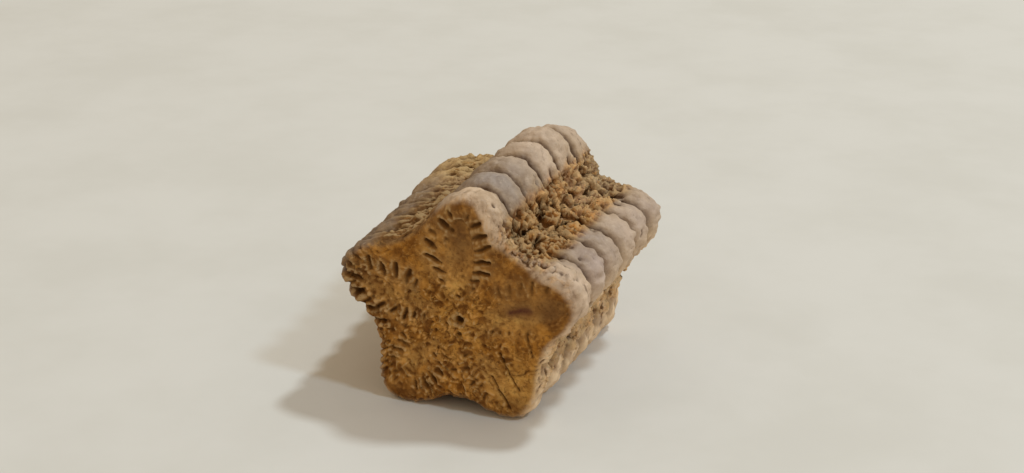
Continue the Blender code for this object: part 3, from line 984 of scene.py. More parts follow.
@dataclass
class FarFace:
    """The other end face: the same petals, softened by wear and partly clogged."""

    wear: float = 0.6
    lumen_radius: float = 0.21 * MM
    lumen_depth: float = 0.34 * MM
    roughness: float = 0.05 * MM

    def relief(self, points: Field) -> dict[str, Field]:
        """Shape the far face.

        Args:
            points: Places in space, measured from the axis.

        Returns:
            Height above the plain face, and the masks floor, slotted, lumen and ridge.
        """
        across, up = points[:, 0], points[:, 2]
        petals = [Petal(arm, seed=80 + number).relief(across, up) for number, arm in enumerate(ARMS)]
        floor, slotted, ridge = (np.max([petal[name] for petal in petals], axis=0)
                                 for name in ("floor", "slotted", "ridge"))
        lumen = dip(np.hypot(across, up), self.lumen_radius)
        height = self.wear * (np.sum([petal["height"] for petal in petals], axis=0) - self.lumen_depth * lumen)
        height += self.roughness * (Grain.rough(points, 0.5 * MM, 91) + Grain.soft(points, 0.2 * MM, 92))
        return {
            "height": height, "floor": floor, "slotted": self.wear * slotted, "lumen": self.wear * lumen,
            "ridge": self.wear * ridge,
        }


@dataclass(frozen=True)
class Filling:
    """What fills a valley between two arms: its bearing in degrees, its porosity and its number of large pits."""

    bearing: float
    porosity: float
    pits: int


class Valley(Enum):
    """The valleys between the arms."""

    TOP_RIGHT = Filling(52.0, 1.0, 46)
    TOP_LEFT = Filling(124.0, 0.42, 14)
    LEFT = Filling(197.0, 0.50, 8)
    UNDER = Filling(267.0, 0.45, 8)
    RIGHT = Filling(343.0, 0.62, 18)


@dataclass
class SandyMatrix:
    """The sandy matrix in the valleys: lumps, pits, rows of pits at the sutures, and a crust high on the far end."""

    form: StemForm
    lump_height: float = 0.24 * MM
    lump_size: float = 0.62 * MM
    pit_spread: float = 13.0
    pit_radii: tuple[float, float] = (0.13 * MM, 0.24 * MM)
    pit_depths: tuple[float, float] = (0.14 * MM, 0.30 * MM)
    pit_seed: int = 11
    pit_deepening: float = 1.7
    blend_spread: float = 24.0
    warp: float = 0.16 * MM
    warp_size: float = 0.45 * MM
    net_size: float = 0.50 * MM
    net_sharpness: float = 2.6
    net_stretch: tuple[float, float, float] = (1.0, 1.35, 1.0)
    net_height: float = 0.23 * MM
    hole_cell: float = 0.40 * MM
    hole_chance: float = 0.40
    hole_depth: float = 0.34 * MM
    grain_cell: float = 0.17 * MM
    grain_height: float = 0.05 * MM
    block_bearing: float = 342.0
    block_spread: float = 38.0
    block_cell: float = 0.44 * MM
    block_stretch: tuple[float, float, float] = (0.7, 1.0, 0.55)
    block_height: float = 0.10 * MM
    crust_height: float = 0.30 * MM
    crust_bearing: float = 140.0
    crust_spread: float = 20.0
    crust_start: float = 6.4 * MM
    suture_pit_cell: float = 0.34 * MM
    suture_pit_depth: float = 0.24 * MM
    suture_pit_radius: float = 0.13 * MM

    def large_pits(self, at: Places) -> Field:
        """Return the depth of the large pits strewn over the valleys."""
        dice = random.Random(self.pit_seed)
        depth = np.zeros_like(at.theta)
        for valley in (name.value for name in Valley):
            for _ in range(valley.pits):
                away = angle_from(at.theta, dice.gauss(valley.bearing, self.pit_spread))
                place = dice.uniform(self.form.front_edge_depth, self.form.length - self.form.far_edge_depth)
                radius = dice.uniform(*self.pit_radii)
                gap = np.hypot(away * ARMS[0].valley, at.along - place)
                depth = np.maximum(depth, dice.uniform(*self.pit_depths) * dip(gap, radius))
        return self.pit_deepening * depth * (1.0 - smooth_step(0.5, 0.9, at.armness)) * at.on_side

    def porosity(self, theta: Field) -> Field:
        """Return how porous the matrix is at each angle, fading from valley to valley."""
        shares = [near_bearing(theta, name.value.bearing, self.blend_spread) for name in Valley]
        return sum(share * name.value.porosity for share, name in zip(shares, Valley)) / sum(shares)

    def crust(self, at: Places) -> Field:
        """Return how much of the crust on the far end of the upper left arm covers each point."""
        near = near_bearing(at.theta, self.crust_bearing, self.crust_spread)
        return near * smooth_step(self.crust_start, self.crust_start + self.form.thickness, at.along)

    def lumps(self, points: Field, cover: Field) -> Field:
        """Return the height of the matrix's larger lumps where it covers the stone."""
        return self.lump_height * cover * Grain.soft(points, self.lump_size, 21)

    def pores(self, points: Field, porous: Field) -> tuple[Field, Field, Field, Field]:
        """Shape the crumbly matrix: a net of fused crests that run across the stem, with deep holes between them.

        Args:
            points: Places in space.
            porous: How porous the matrix is there.

        Returns:
            The height of each point, and how much it is in a hole, on a crest and in a gap.
        """
        bent = Grain.warp(points, self.warp, self.warp_size, 70, octaves=3)
        net, finer, finest = (1.0 - self.net_sharpness * np.abs(Grain.soft(bent * stretch, size * self.net_size, seed))
                              for stretch, size, seed in ((self.net_stretch, 1.0, 74), (1.0, 0.5, 75), (1.0, 0.3, 78)))
        near, own = Grain.cells(bent, self.hole_cell, 76)
        holes = np.where(own > self.hole_chance, dip(near, 0.36 * (0.5 + 0.7 * own)), 0.0) * porous
        grains = Grain.domes(bent, self.grain_cell, 80, 0.55, 0.6, rim=0.45)
        height = self.net_height * (0.62 * net + 0.34 * finer + 0.16 * finest - 0.15) + self.grain_height * grains
        height = porous * (height - self.hole_depth * holes)
        level = 0.55 * net + 0.35 * finer + 0.25 * finest + 0.4 * grains + 0.4 * Grain.soft(points, 0.9 * MM, 83)
        crest = smooth_step(0.30, 0.90, level) * (1.0 - holes) * np.minimum(1.5 * porous, 1.0)
        return height, holes, crest, smooth_step(0.35, -0.40, level) * porous

    def blocks(self, theta: Field, points: Field) -> tuple[Field, Field]:
        """Break the right flank up into chunky blocks.

        Args:
            theta: Angle about the axis.
            points: Places in space.

        Returns:
            The height of each point, and how much it is in a gap between blocks.
        """
        bent = Grain.warp(points, self.warp, self.warp_size, 90)
        near, own = Grain.cells(bent * self.block_stretch, self.block_cell, 94)
        reach = bearing_share(theta, self.block_bearing, 0.5 * self.block_spread, self.block_spread)
        plateau = 1.0 - smooth_step(0.30, 0.62, near)
        return self.block_height * reach * (plateau * (0.5 + own) - 0.5), reach * smooth_step(0.46, 0.66, near)

    def suture_pits(self, at: Places) -> Field:
        """Return the depth of the rows of pits in the sutures, on the arms' lower flanks and in the valleys."""
        nearest = np.round(at.bent / self.form.thickness)
        flat = np.column_stack((at.plain[:, 0], nearest * 7.3 * self.suture_pit_cell, at.plain[:, 2]))
        away, own = Grain.cells(flat, self.suture_pit_cell, 86)
        gap = np.hypot(away * self.suture_pit_cell, self.form.to_suture(at.bent))
        flank = 1.0 - smooth_step(0.45, 0.85, at.armness)
        depth = self.suture_pit_depth * dip(gap, self.suture_pit_radius * (0.6 + 0.8 * own))
        return depth * (0.15 + 0.85 * flank) * (1.0 + 0.8 * self.form.deepened(at.theta))


@dataclass
class Skin:
    """Everything that the finished stone's surface needs: positions, and masks that its finish reads."""

    points: Field
    normals: Field
    theta: Field
    along: Field
    areas: Field
    masks: dict[str, Field]


@dataclass(frozen=True)
class TubercleRow:
    """A row of rounded tubercles on each columnal: its middle bearing, how many, their spacing in degrees, size."""

    bearing: float
    count: int
    pitch: float
    radius: float
    height: float


@dataclass(frozen=True)
class Patch:
    """A soft patch of colour on the side: its columnal and its reach in columnals, its bearing and reach in degrees."""

    columnal: float
    reach: float
    bearing: float
    spread: float
    strength: float = 1.0

    def share(self, theta: Field, order: Field) -> Field:
        """Return the patch's strength at each point, given its place counted in columnals."""
        beside = near_bearing(theta, self.bearing, self.spread)
        return self.strength * beside * np.exp(-((order - self.columnal) / self.reach) ** 2)


@dataclass
class FossilStem:
    """The fossil: its large form, its faces and its matrix, put together into one closed skin."""

    form: StemForm = field(default_factory=StemForm)
    unevenness: float = 0.07 * MM
    uneven_size: float = 1.3 * MM
    wander_size: float = 0.9 * MM
    matrix_drop: float = 0.10 * MM
    tubercle_seed: int = 5
    tubercle_sink: float = 0.03 * MM
    tubercle_rows: tuple[TubercleRow, ...] = (
        TubercleRow(23.0, 5, 6.8, 0.19 * MM, 0.14 * MM),
        TubercleRow(21.0, 4, 7.6, 0.21 * MM, 0.12 * MM),
        TubercleRow(67.0, 3, 5.5, 0.17 * MM, 0.12 * MM),
        TubercleRow(86.0, 3, 7.0, 0.22 * MM, 0.06 * MM),
        TubercleRow(312.0, 5, 7.0, 0.18 * MM, 0.08 * MM),
        TubercleRow(164.0, 3, 6.0, 0.22 * MM, 0.10 * MM),
        TubercleRow(230.0, 3, 7.0, 0.22 * MM, 0.08 * MM),
    )
    bump_cell: float = 0.40 * MM
    bump_height: float = 0.13 * MM
    bead_cell: float = 0.26 * MM
    bead_height: float = 0.20 * MM
    beaded_bearing: float = 50.0
    swell_size: float = 0.38 * MM
    swell_height: float = 0.060 * MM
    streak_height: float = 0.055 * MM
    skin_grain: float = 0.030 * MM
    skin_grain_size: float = 0.22 * MM
    notches: tuple[RimNotches, ...] = (
        RimNotches(163.0, 197.0, 0.50 * MM, 0.24 * MM),
        RimNotches(203.0, 226.0, 0.34 * MM, 0.11 * MM),
        RimNotches(150.0, 163.0, 0.46 * MM, 0.10 * MM),
    )
    full_notch: float = 0.20 * MM
    full_pit: float = 0.25 * MM
    sharp_hollow: float = 0.05 * MM
    broad_hollow: float = 0.16 * MM
    seam_reach: float = 0.42 * MM
    face_share: float = 0.950
    face_bites: tuple[tuple[float, float, float], ...] = ((70.0, 10.0, 0.16), (32.0, 12.0, 0.12))
    blue: tuple[Patch, ...] = (
        Patch(1.45, 0.50, 84.0, 15.0), Patch(2.5, 0.5, 80.0, 12.0, 0.3), Patch(2.4, 0.7, 36.0, 12.0, 0.5),
        Patch(0.0, math.inf, 160.0, 13.0, 0.5),
    )
    lilac: tuple[Patch, ...] = (
        Patch(1.5, 0.8, 18.0, 16.0, 0.9), Patch(0.5, 0.45, 20.0, 9.0, 0.6), Patch(4.5, 1.6, 24.0, 14.0, 0.5),
    )
    cream: tuple[Patch, ...] = (
        Patch(3.9, 0.95, 82.0, 22.0), Patch(0.2, 0.6, 26.0, 16.0, 0.8), Patch(3.6, 0.6, 22.0, 12.0, 0.5),
        Patch(5.7, 0.6, 80.0, 24.0, 0.5),
    )
    # Dark spots on the star face: stains, and painted shade over the right petal.
    spots_of_stain_and_painted_shade: tuple[Spot, ...] = (
        Spot(0.15, 3.55, 1.00, 0.75, 1.0), Spot(-4.35, 1.15, 0.75, 0.85, 0.9), Spot(-2.6, 1.0, 1.2, 0.7, 0.35),
        Spot(3.85, 1.05, 1.0, 0.75, 0.9), Spot(2.1, 1.3, 1.3, 0.9, 0.45), Spot(-2.15, -3.15, 0.95, 0.60, 0.65),
        Spot(2.2, -3.4, 0.90, 0.60, 0.65), Spot(1.80, 2.15, 0.80, 0.75, 0.55), Spot(-2.9, -0.45, 0.8, 0.45, 0.4),
    )

    def build(self) -> tuple[bpy.types.Object, Skin]:
        """Build and dress the stone.

        Returns:
            The finished object, linked to the scene, and its skin.
        """
        grid = RingGrid(self.form)
        skin = self._skin(grid)
        stone = self._mesh(grid, skin)
        stone.data.materials.append(StoneFinish().make())
        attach(stone, "root")
        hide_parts("crinoid_stem")
        return stone, skin

    def _places(self, grid: RingGrid) -> Places:
        """Lay the grid's points on the star section, drawn in at the wandering sutures.

        Args:
            grid: The rings of points.

        Returns:
            The points' places before any relief.
        """
        form = self.form
        theta, share, along = grid.theta.ravel(), grid.share.ravel(), grid.along.ravel()
        star, armness, bulge = form.star(theta, along)
        to_end = np.minimum(along, form.length - along)
        stretched = on_section(star * share, theta, along) * (1.0, 0.3, 1.0)
        wander = form.suture_wander * (1.6 - armness) * Grain.soft(stretched, self.wander_size, 11)
        lean = form.suture_lean * near_bearing(theta, form.lean_bearing, form.lean_spread)
        bent = along + (wander + lean) * smooth_step(0.0, form.thickness, to_end)
        inset = form.inset(theta, bent, armness, bulge)
        plain = on_section((star - inset) * share, theta, along)
        on_side = smooth_step(0.0, form.front_edge_depth, to_end)
        return Places(theta, share, along, bent, star, armness, inset, plain, on_side, along < 0.5 * form.length)

    def _skin(self, grid: RingGrid) -> Skin:
        """Shape the skin and work out its masks.

        Args:
            grid: The rings of points to shape.

        Returns:
            The shaped skin.
        """
        form, matrix, at = self.form, SandyMatrix(self.form), self._places(grid)
        shape = grid.theta.shape
        ragged = at.armness + 0.16 * Grain.rough(at.plain, 0.7 * MM, 15)
        rim = bearing_share(at.theta, self.beaded_bearing, 14.0, 27.0) * smooth_step(0.04 * MM, 0.22 * MM, at.along)
        sided = np.maximum(at.on_side, np.where(at.at_front, rim, 0.0))
        cover = (1.0 - smooth_step(0.24, 0.60, ragged)) * sided
        crust = matrix.crust(at)
        porous = np.clip(matrix.porosity(at.theta) * cover * (1.0 - 0.5 * crust) + 0.3 * crust, 0.0, 1.0)
        pits = matrix.large_pits(at)

        outward = matrix.lumps(at.plain, (1.0 - at.armness) ** 1.5) + matrix.crust_height * crust
        outward += self.unevenness * Grain.soft(at.plain, self.uneven_size, 13)
        outward -= pits + self.matrix_drop * porous + matrix.suture_pits(at)
        outward *= at.on_side
        coarse = at.plain + on_section(outward, at.theta, 0.0)
        normals = grid.normals(grid_of(coarse, shape)).reshape(-1, 3)

        faces = self._faces(at)
        net, holes, crests, gaps = matrix.pores(coarse, porous)
        blocks, cracks = matrix.blocks(at.theta, coarse)
        fine = net + blocks + (self._tubercles(at) + self._lobe_detail(at, coarse, porous)) * at.on_side
        fine += self.skin_grain * Grain.rough(coarse, self.skin_grain_size, 19) + self._beads(at, coarse)
        notched = sum(row.hollow(at) for row in self.notches)
        height = faces.pop("height") + fine * (0.10 + 0.90 * sided) - notched
        points = coarse + normals * height[:, None]
        points += np.array([form.axis_offset, -0.5 * form.length, form.axis_height])
        points[:, 2] = np.maximum(points[:, 2], 0.0)

        masks = self._zones(at) | faces
        seam = (1.0 - smooth_step(0.0, self.seam_reach, form.to_suture(at.bent))) * at.on_side
        blotch = smooth_step(-0.25, 0.45, Grain.rough(coarse, 0.55 * MM, 37))
        relief = grid_of(height + outward - at.inset, shape)
        # cavity and hollow say how far each point lies below its neighbours: painted shade goes in the hollows, and a
        # pale worn edge, partly painted highlight, goes where the relief bulges. holes, notched and deep carry painted
        # shade, and suture carries a darker joint that is partly painted shade.
        masks |= {
            "cavity": np.clip((grid.blur(relief, 5) - relief).ravel() / self.sharp_hollow, -1.0, 1.0),
            "hollow": np.clip((grid.blur(relief, 40) - relief).ravel() / self.broad_hollow, -1.0, 1.0),
            "matrix": cover, "crust": crust * at.on_side, "porous": porous, "crumb": crests,
            "holes": np.clip(np.maximum(holes, pits / self.full_pit), 0.0, 1.0),
            "suture": form.crease(at.theta, at.bent) * at.on_side,
            "seam": seam * blotch * (1.0 - 0.3 * form.deepened(at.theta)),
            "notched": np.clip(notched / self.full_notch, 0.0, 1.0),
            "deep": np.maximum(gaps * (1.0 - 0.75 * masks["sand"]), 0.6 * cracks) * at.on_side,
        }
        normals = grid.normals(grid_of(points, shape)).reshape(-1, 3)
        return Skin(points, normals, at.theta, at.along, grid.areas(grid_of(points, shape)).ravel(), masks)

    @staticmethod
    def _faces(at: Places) -> dict[str, Field]:
        """Return the two end faces' height and masks, each on its own half of the stem and fading on the side."""
        front, far = StarFace().relief(at.plain), FarFace().relief(at.plain)
        return {name: np.where(at.at_front, front[name], far.get(name, 0.0)) * (1.0 - at.on_side) for name in front}

    def _tubercles(self, at: Places) -> Field:
        """Return the height of the rounded tubercles, a few on each columnal's knuckles."""
        dice = random.Random(self.tubercle_seed)
        height = np.zeros_like(at.theta)
        for row in self.tubercle_rows:
            for columnal in range(self.form.columnals):
                for place in range(row.count):
                    bearing = row.bearing + (place - 0.5 * (row.count - 1)) * row.pitch + dice.uniform(-2.5, 2.5)
                    order = columnal + 0.5 + dice.uniform(-0.24, 0.24)
                    radius = row.radius * dice.uniform(0.75, 1.3)
                    rise = row.height * dice.uniform(0.35, 1.25)
                    gap = np.hypot(angle_from(at.theta, bearing) * at.star, at.along - order * self.form.thickness)
                    height = np.maximum(height, rise * groove(gap, radius))
        return height - self.tubercle_sink * smooth_step(0.0, 0.02 * MM, height)

    def _lobe_detail(self, at: Places, points: Field, porous: Field) -> Field:
        """Shape the arms' uneven bumps, and the fine growth ridges on the upper left flank.

        Args:
            at: The points before relief.
            points: The same points with the coarse relief.
            porous: How porous the matrix is there.

        Returns:
            The height of each point.
        """
        bumpy = sum(strength * near_bearing(at.theta, bearing, spread)
                    for bearing, spread, strength in ((26.0, 26.0, 1.0), (80.0, 20.0, 0.50), (318.0, 28.0, 0.60)))
        lobes = smooth_step(0.05, 0.35, at.armness) * np.clip(bumpy + 0.25, 0.0, 1.0)
        bumps = Grain.domes(points, self.bump_cell, 25, 0.4, 0.8) * lobes
        ridged = np.cos(6.0 * math.pi * at.bent / self.form.thickness + 1.5 * Grain.soft(points, 0.8 * MM, 28))
        streaks = ridged * (0.6 + 0.8 * Grain.soft(points, 0.5 * MM, 29)) * near_bearing(at.theta, 126.0, 34.0)
        swell = self.swell_height * Grain.rough(points, self.swell_size, 24, 2) * (1.0 - porous)
        return self.bump_height * bumps + swell + self.streak_height * streaks

    def _beads(self, at: Places, points: Field) -> Field:
        """Return the height of the small beads on the worn rim between the top and the right arms."""
        rim = smooth_step(0.66, 0.80, at.share) * (1.0 - smooth_step(0.5 * MM, 1.1 * MM, at.along))
        beads = Grain.domes(points, self.bead_cell, 33, 0.5, 1.0)
        return self.bead_height * beads * rim * bearing_share(at.theta, self.beaded_bearing, 15.0, 27.0)

    def _zones(self, at: Places) -> dict[str, Field]:
        """Work out where each coat of colour lies.

        Args:
            at: The points before relief.

        Returns:
            The masks face, buff, lobe, blue, lilac, cream, sand, brown, the dark spots (stains, and painted shade over
            the right petal) and the band of painted shade on the top valley and the upper left flank.
        """
        theta, armness, order = at.theta, at.armness, at.bent / self.form.thickness
        rag = 0.5 * Grain.rough(at.plain, 0.9 * MM, 31)
        inner = self.face_share - sum(width * near_bearing(theta, bearing, spread)
                                      for bearing, spread, width in self.face_bites)
        face = np.where(at.at_front, smooth_step(-0.035, 0.035, inner - at.share + 0.05 * rag), 0.0)
        far = np.where(at.at_front, 0.0, smooth_step(-0.03, 0.10, 0.92 - at.share + 0.10 * rag))
        outside = 1.0 - face
        first = 1.0 - smooth_step(0.10 + 0.60 * armness, 0.26 + 0.74 * armness, order + 0.10 * rag)
        buff = bearing_share(theta, 44.0, 40.0, 66.0) * outside * first
        lobe = smooth_step(0.28, 0.62, armness + 0.22 * rag) * outside * (1.0 - far)
        worn_end = smooth_step(4.90, 5.20, order + 0.3 * rag) * bearing_share(theta, 52.0, 9.0, 20.0)
        stain_and_painted_shade = strongest(self.spots_of_stain_and_painted_shade, at.plain) * (1.0 + 0.8 * rag)

        def patches(spots: tuple[Patch, ...], raggedness: float) -> Field:
            """Return how much of one coat's patches covers each point."""
            return np.clip(sum(spot.share(theta, order) for spot in spots) + raggedness * rag, 0.0, 1.0)

        return {
            "face": np.maximum(face, far), "buff": buff, "lobe": lobe * (1.0 - 0.8 * worn_end),
            "blue": patches(self.blue, 0.5) * lobe, "lilac": patches(self.lilac, 0.4) * lobe,
            "cream": patches(self.cream, 0.5) * np.maximum(lobe, buff),
            "sand": np.maximum(bearing_share(theta, 335.0, 20.0, 50.0),
                               0.40 * smooth_step(2.6, 4.6, order) * (1.0 - armness)) * outside,
            # Painted shade: a band over the top valley's first columnals and along the middle of the upper left flank.
            "painted_shade_band": np.maximum(span(order, (0.25, 0.45), (1.0, 3.0)) * bearing_share(theta, 52.0, 16.0, 34.0),
                               span(order, (0.6, 1.4), (3.4, 4.4)) * bearing_share(theta, 122.0, 16.0, 34.0)) * outside,
            "brown": np.maximum(bearing_share(theta, 130.0, 26.0, 46.0), worn_end) * outside,
            "stain_and_painted_shade": np.clip(stain_and_painted_shade, 0.0, 1.0) * face,
        }

    def _mesh(self, grid: RingGrid, skin: Skin) -> bpy.types.Object:
        """Make the closed mesh from the skin.

        Args:
            grid: The rings that the skin's points stand in.
            skin: The shaped skin.

        Returns:
            The object, linked to the scene.
        """
        around, rings = grid.around, grid.rings
        rows = grid_of(skin.points, (rings, around))
        poles = (rows[0].mean(axis=0), rows[-1].mean(axis=0))
        poles[0][1] += StarFace().lumen_depth * 0.05
        vertices = np.vstack((poles[0], skin.points, poles[1]))
        start = 1 + np.arange(rings - 1)[:, None] * around
        here, turn = np.arange(around), (np.arange(around) + 1) % around
        quads = np.stack((start + here, start + around + here, start + around + turn, start + turn), axis=2)
        last = 1 + rings * around
        front = np.column_stack((np.zeros(around, int), 1 + here, 1 + turn))
        back = np.column_stack((np.full(around, last), last - around + turn, last - around + here))
        faces = front.tolist() + quads.reshape(-1, 4).tolist() + back.tolist()
        mesh = bpy.data.meshes.new("fossil_stem_skin")
        mesh.from_pydata(vertices.tolist(), [], faces)
        mesh.validate()
        mesh.shade_smooth()
        for name, values in skin.masks.items():
            write_mask(mesh, name, np.concatenate(([values[:around].mean()], values, [values[-around:].mean()])))
        return show("fossil_stem", mesh)


@dataclass(frozen=True)
class Strewing:
    """Where one bed of sand grains lies: bearings and distances along the stem, and what kind of place."""

    bearing: float
    spread: float
    fade: float
    start: float
    end: float
    mask: str
    weight: float = 1.0


@dataclass(frozen=True)
class Rounding:
    """A grain's mesh: rings between two poles, and points round each."""

    around: int = 7
    rings: int = 4

    def directions(self) -> Field:
        """Return the unit directions of the points: first pole, rings, last pole."""
        found = [(0.0, 0.0, 1.0)]
        for ring in range(1, self.rings + 1):
            tilt = math.pi * ring / (self.rings + 1)
            for step in range(self.around):
                turn = 2.0 * math.pi * (step + 0.5 * (ring % 2)) / self.around
                found.append((math.sin(tilt) * math.cos(turn), math.sin(tilt) * math.sin(turn), math.cos(tilt)))
        found.append((0.0, 0.0, -1.0))
        return np.array(found)

    def triangles(self) -> list[tuple[int, int, int]]:
        """Return the faces, wound to look outward."""
        faces = []
        last = 1 + self.rings * self.around
        for step in range(self.around):
            after = (step + 1) % self.around
            faces.append((0, 1 + step, 1 + after))
            for start in range(1, last - self.around, self.around):
                below = start + self.around
                faces.append((start + step, below + step, below + after))
                faces.append((start + step, below + after, start + after))
            faces.append((last, last - self.around + after, last - self.around + step))
        return faces


@dataclass
class SandGrains:
    """A bed of small irregular grains, cemented to the stone's skin in the valleys."""

    name: str
    seed: int
    count: int
    strewings: tuple[Strewing, ...]
    radii: tuple[float, float] = (0.035 * MM, 0.090 * MM)
    closeness: float = 0.70
    clump_size: float = 0.60 * MM
    clump_height: float = 0.03 * MM
    sparseness: float = 0.10
    sink: float = 0.60
    lumpiness: float = 0.50
    stretch: tuple[float, float] = (0.55, 1.45)
    tries: int = 5
    shape: Rounding = field(default_factory=Rounding)

    def build(self, skin: Skin) -> bpy.types.Object:
        """Strew the grains over the skin.

        Args:
            skin: The stone's skin.

        Returns:
            The bed of grains, one object, linked to the scene.
        """
        draw = np.random.default_rng(self.seed)
        seats, radii, lifts, picked = self._seats(skin, draw)
        number = len(seats)
        directions = np.broadcast_to(self.shape.directions(), (number, self.shape.rings * self.shape.around + 2, 3))
        stretched = directions * draw.uniform(*self.stretch, (number, 1, 3))
        lumps = Grain.soft((directions * 0.8 + draw.uniform(0.0, 90.0, (number, 1, 3))).reshape(-1, 3), 1.0, self.seed)
        stretched = stretched * (1.0 + self.lumpiness * lumps.reshape(number, -1, 1))
        turned = np.einsum("nij,nkj->nki", self._turns(draw, number), stretched)
        middles = seats + skin.normals[picked] * lifts[:, None]
        points = middles[:, None, :] + turned * radii[:, None, None]
        points[:, :, 2] = np.maximum(points[:, :, 2], 0.0)
        per_grain = points.shape[1]
        triangles = np.array(self.shape.triangles())
        faces = (triangles[None] + per_grain * np.arange(number)[:, None, None]).reshape(-1, 3)
        mesh = bpy.data.meshes.new(self.name)
        mesh.from_pydata(points.reshape(-1, 3).tolist(), [], faces.tolist())
        mesh.shade_smooth()
        # Each grain's tone: random, paler on the matrix's crests and darker off them, partly painted highlight and
        # painted shade.
        tone_and_painted_light = np.clip(0.25 + 0.55 * skin.masks["crumb"][picked] + draw.normal(0.0, 0.20, number), 0.0, 1.0)
        grey = np.clip(draw.normal(0.12, 0.25, number), 0.0, 1.0)
        for name, values in (("tone_and_painted_light", tone_and_painted_light), ("grey", grey), ("sand", skin.masks["sand"][picked])):
            write_mask(mesh, name, np.repeat(values, per_grain))
        bed = show(self.name, mesh)
        bed.data.materials.append(GrainFinish().make(self.name))
        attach(bed, "root")
        return bed

    def _seats(self, skin: Skin, draw: np.random.Generator) -> tuple[Field, Field, Field, Field]:
        """Choose where the grains sit, none too close to another.

        Args:
            skin: The stone's skin.
            draw: The source of chance.

        Returns:
            The grains' seats, their radii, how far each stands off the skin, and the skin point under each.
        """
        clump = Grain.rough(skin.points, self.clump_size, self.seed + 1, 2)
        weight = np.zeros(len(skin.points))
        for bed in self.strewings:
            here = bearing_share(skin.theta, bed.bearing, bed.spread, bed.spread + bed.fade)
            here *= (skin.along > bed.start) & (skin.along < bed.end)
            weight = np.maximum(weight, bed.weight * here * skin.masks[bed.mask])
        weight *= smooth_step(-self.sparseness - 0.25, self.sparseness, clump) * (1.0 - 0.9 * skin.masks["holes"])
        weight *= skin.areas
        number = self.tries * self.count
        order = draw.choice(len(weight), size=number, p=weight / weight.sum())
        jitter = draw.uniform(-0.5, 0.5, (number, 3)) * np.sqrt(skin.areas[order])[:, None]
        places = skin.points[order] + jitter
        low, high = self.radii
        radii = low + (high - low) * draw.beta(1.4, 2.6, number)
        taken: dict[tuple[int, int, int], list[int]] = {}
        kept: list[int] = []
        cell = 2.0 * high
        for index in range(number):
            home = tuple(int(value) for value in np.floor(places[index] / cell))
            near = [other for shift in np.ndindex(3, 3, 3)
                    for other in taken.get(tuple(home[axis] + shift[axis] - 1 for axis in range(3)), ())]
            if near:
                gaps = np.linalg.norm(places[near] - places[index], axis=1)
                if np.any(gaps < self.closeness * (radii[near] + radii[index])):
                    continue
            taken.setdefault(home, []).append(index)
            kept.append(index)
            if len(kept) == self.count:
                break
        chosen = np.array(kept)
        picked = order[chosen]
        lifts = self.clump_height * np.clip(clump[picked], 0.0, 1.0) - self.sink * radii[chosen]
        return places[chosen], radii[chosen], lifts, picked

    @staticmethod
    def _turns(draw: np.random.Generator, number: int) -> Field:
        """Return random rotation matrices, from random unit quaternions."""
        turns = draw.normal(size=(4, number))
        w, x, y, z = turns / np.linalg.norm(turns, axis=0)
        return np.stack((
            np.stack((1 - 2 * (y * y + z * z), 2 * (x * y - z * w), 2 * (x * z + y * w)), axis=1),
            np.stack((2 * (x * y + z * w), 1 - 2 * (x * x + z * z), 2 * (y * z - x * w)), axis=1),
            np.stack((2 * (x * z - y * w), 2 * (y * z + x * w), 1 - 2 * (x * x + y * y)), axis=1),
        ), axis=1)


def grain_beds() -> tuple[SandGrains, ...]:
    """List the beds of grains: the pitted top valley, the right flank, and the left flank with the crust."""
    return (
        SandGrains("top_valley_grains", 301, 100, (
            Strewing(50.0, 26.0, 14.0, 0.40 * MM, 9.4 * MM, "crumb"),
        )),
        SandGrains("right_flank_grains", 302, 300, (
            Strewing(340.0, 26.0, 12.0, 0.40 * MM, 9.4 * MM, "crumb"),
        )),
        SandGrains("left_flank_grains", 303, 90, (
            Strewing(125.0, 16.0, 14.0, 0.50 * MM, 9.4 * MM, "crumb"),
            Strewing(220.0, 30.0, 20.0, 0.50 * MM, 9.4 * MM, "crumb", 0.4),
            Strewing(268.0, 20.0, 12.0, 0.50 * MM, 9.4 * MM, "crumb", 0.4),
        )),
    )


Tints = tuple[tuple[str, float, Colour], ...]


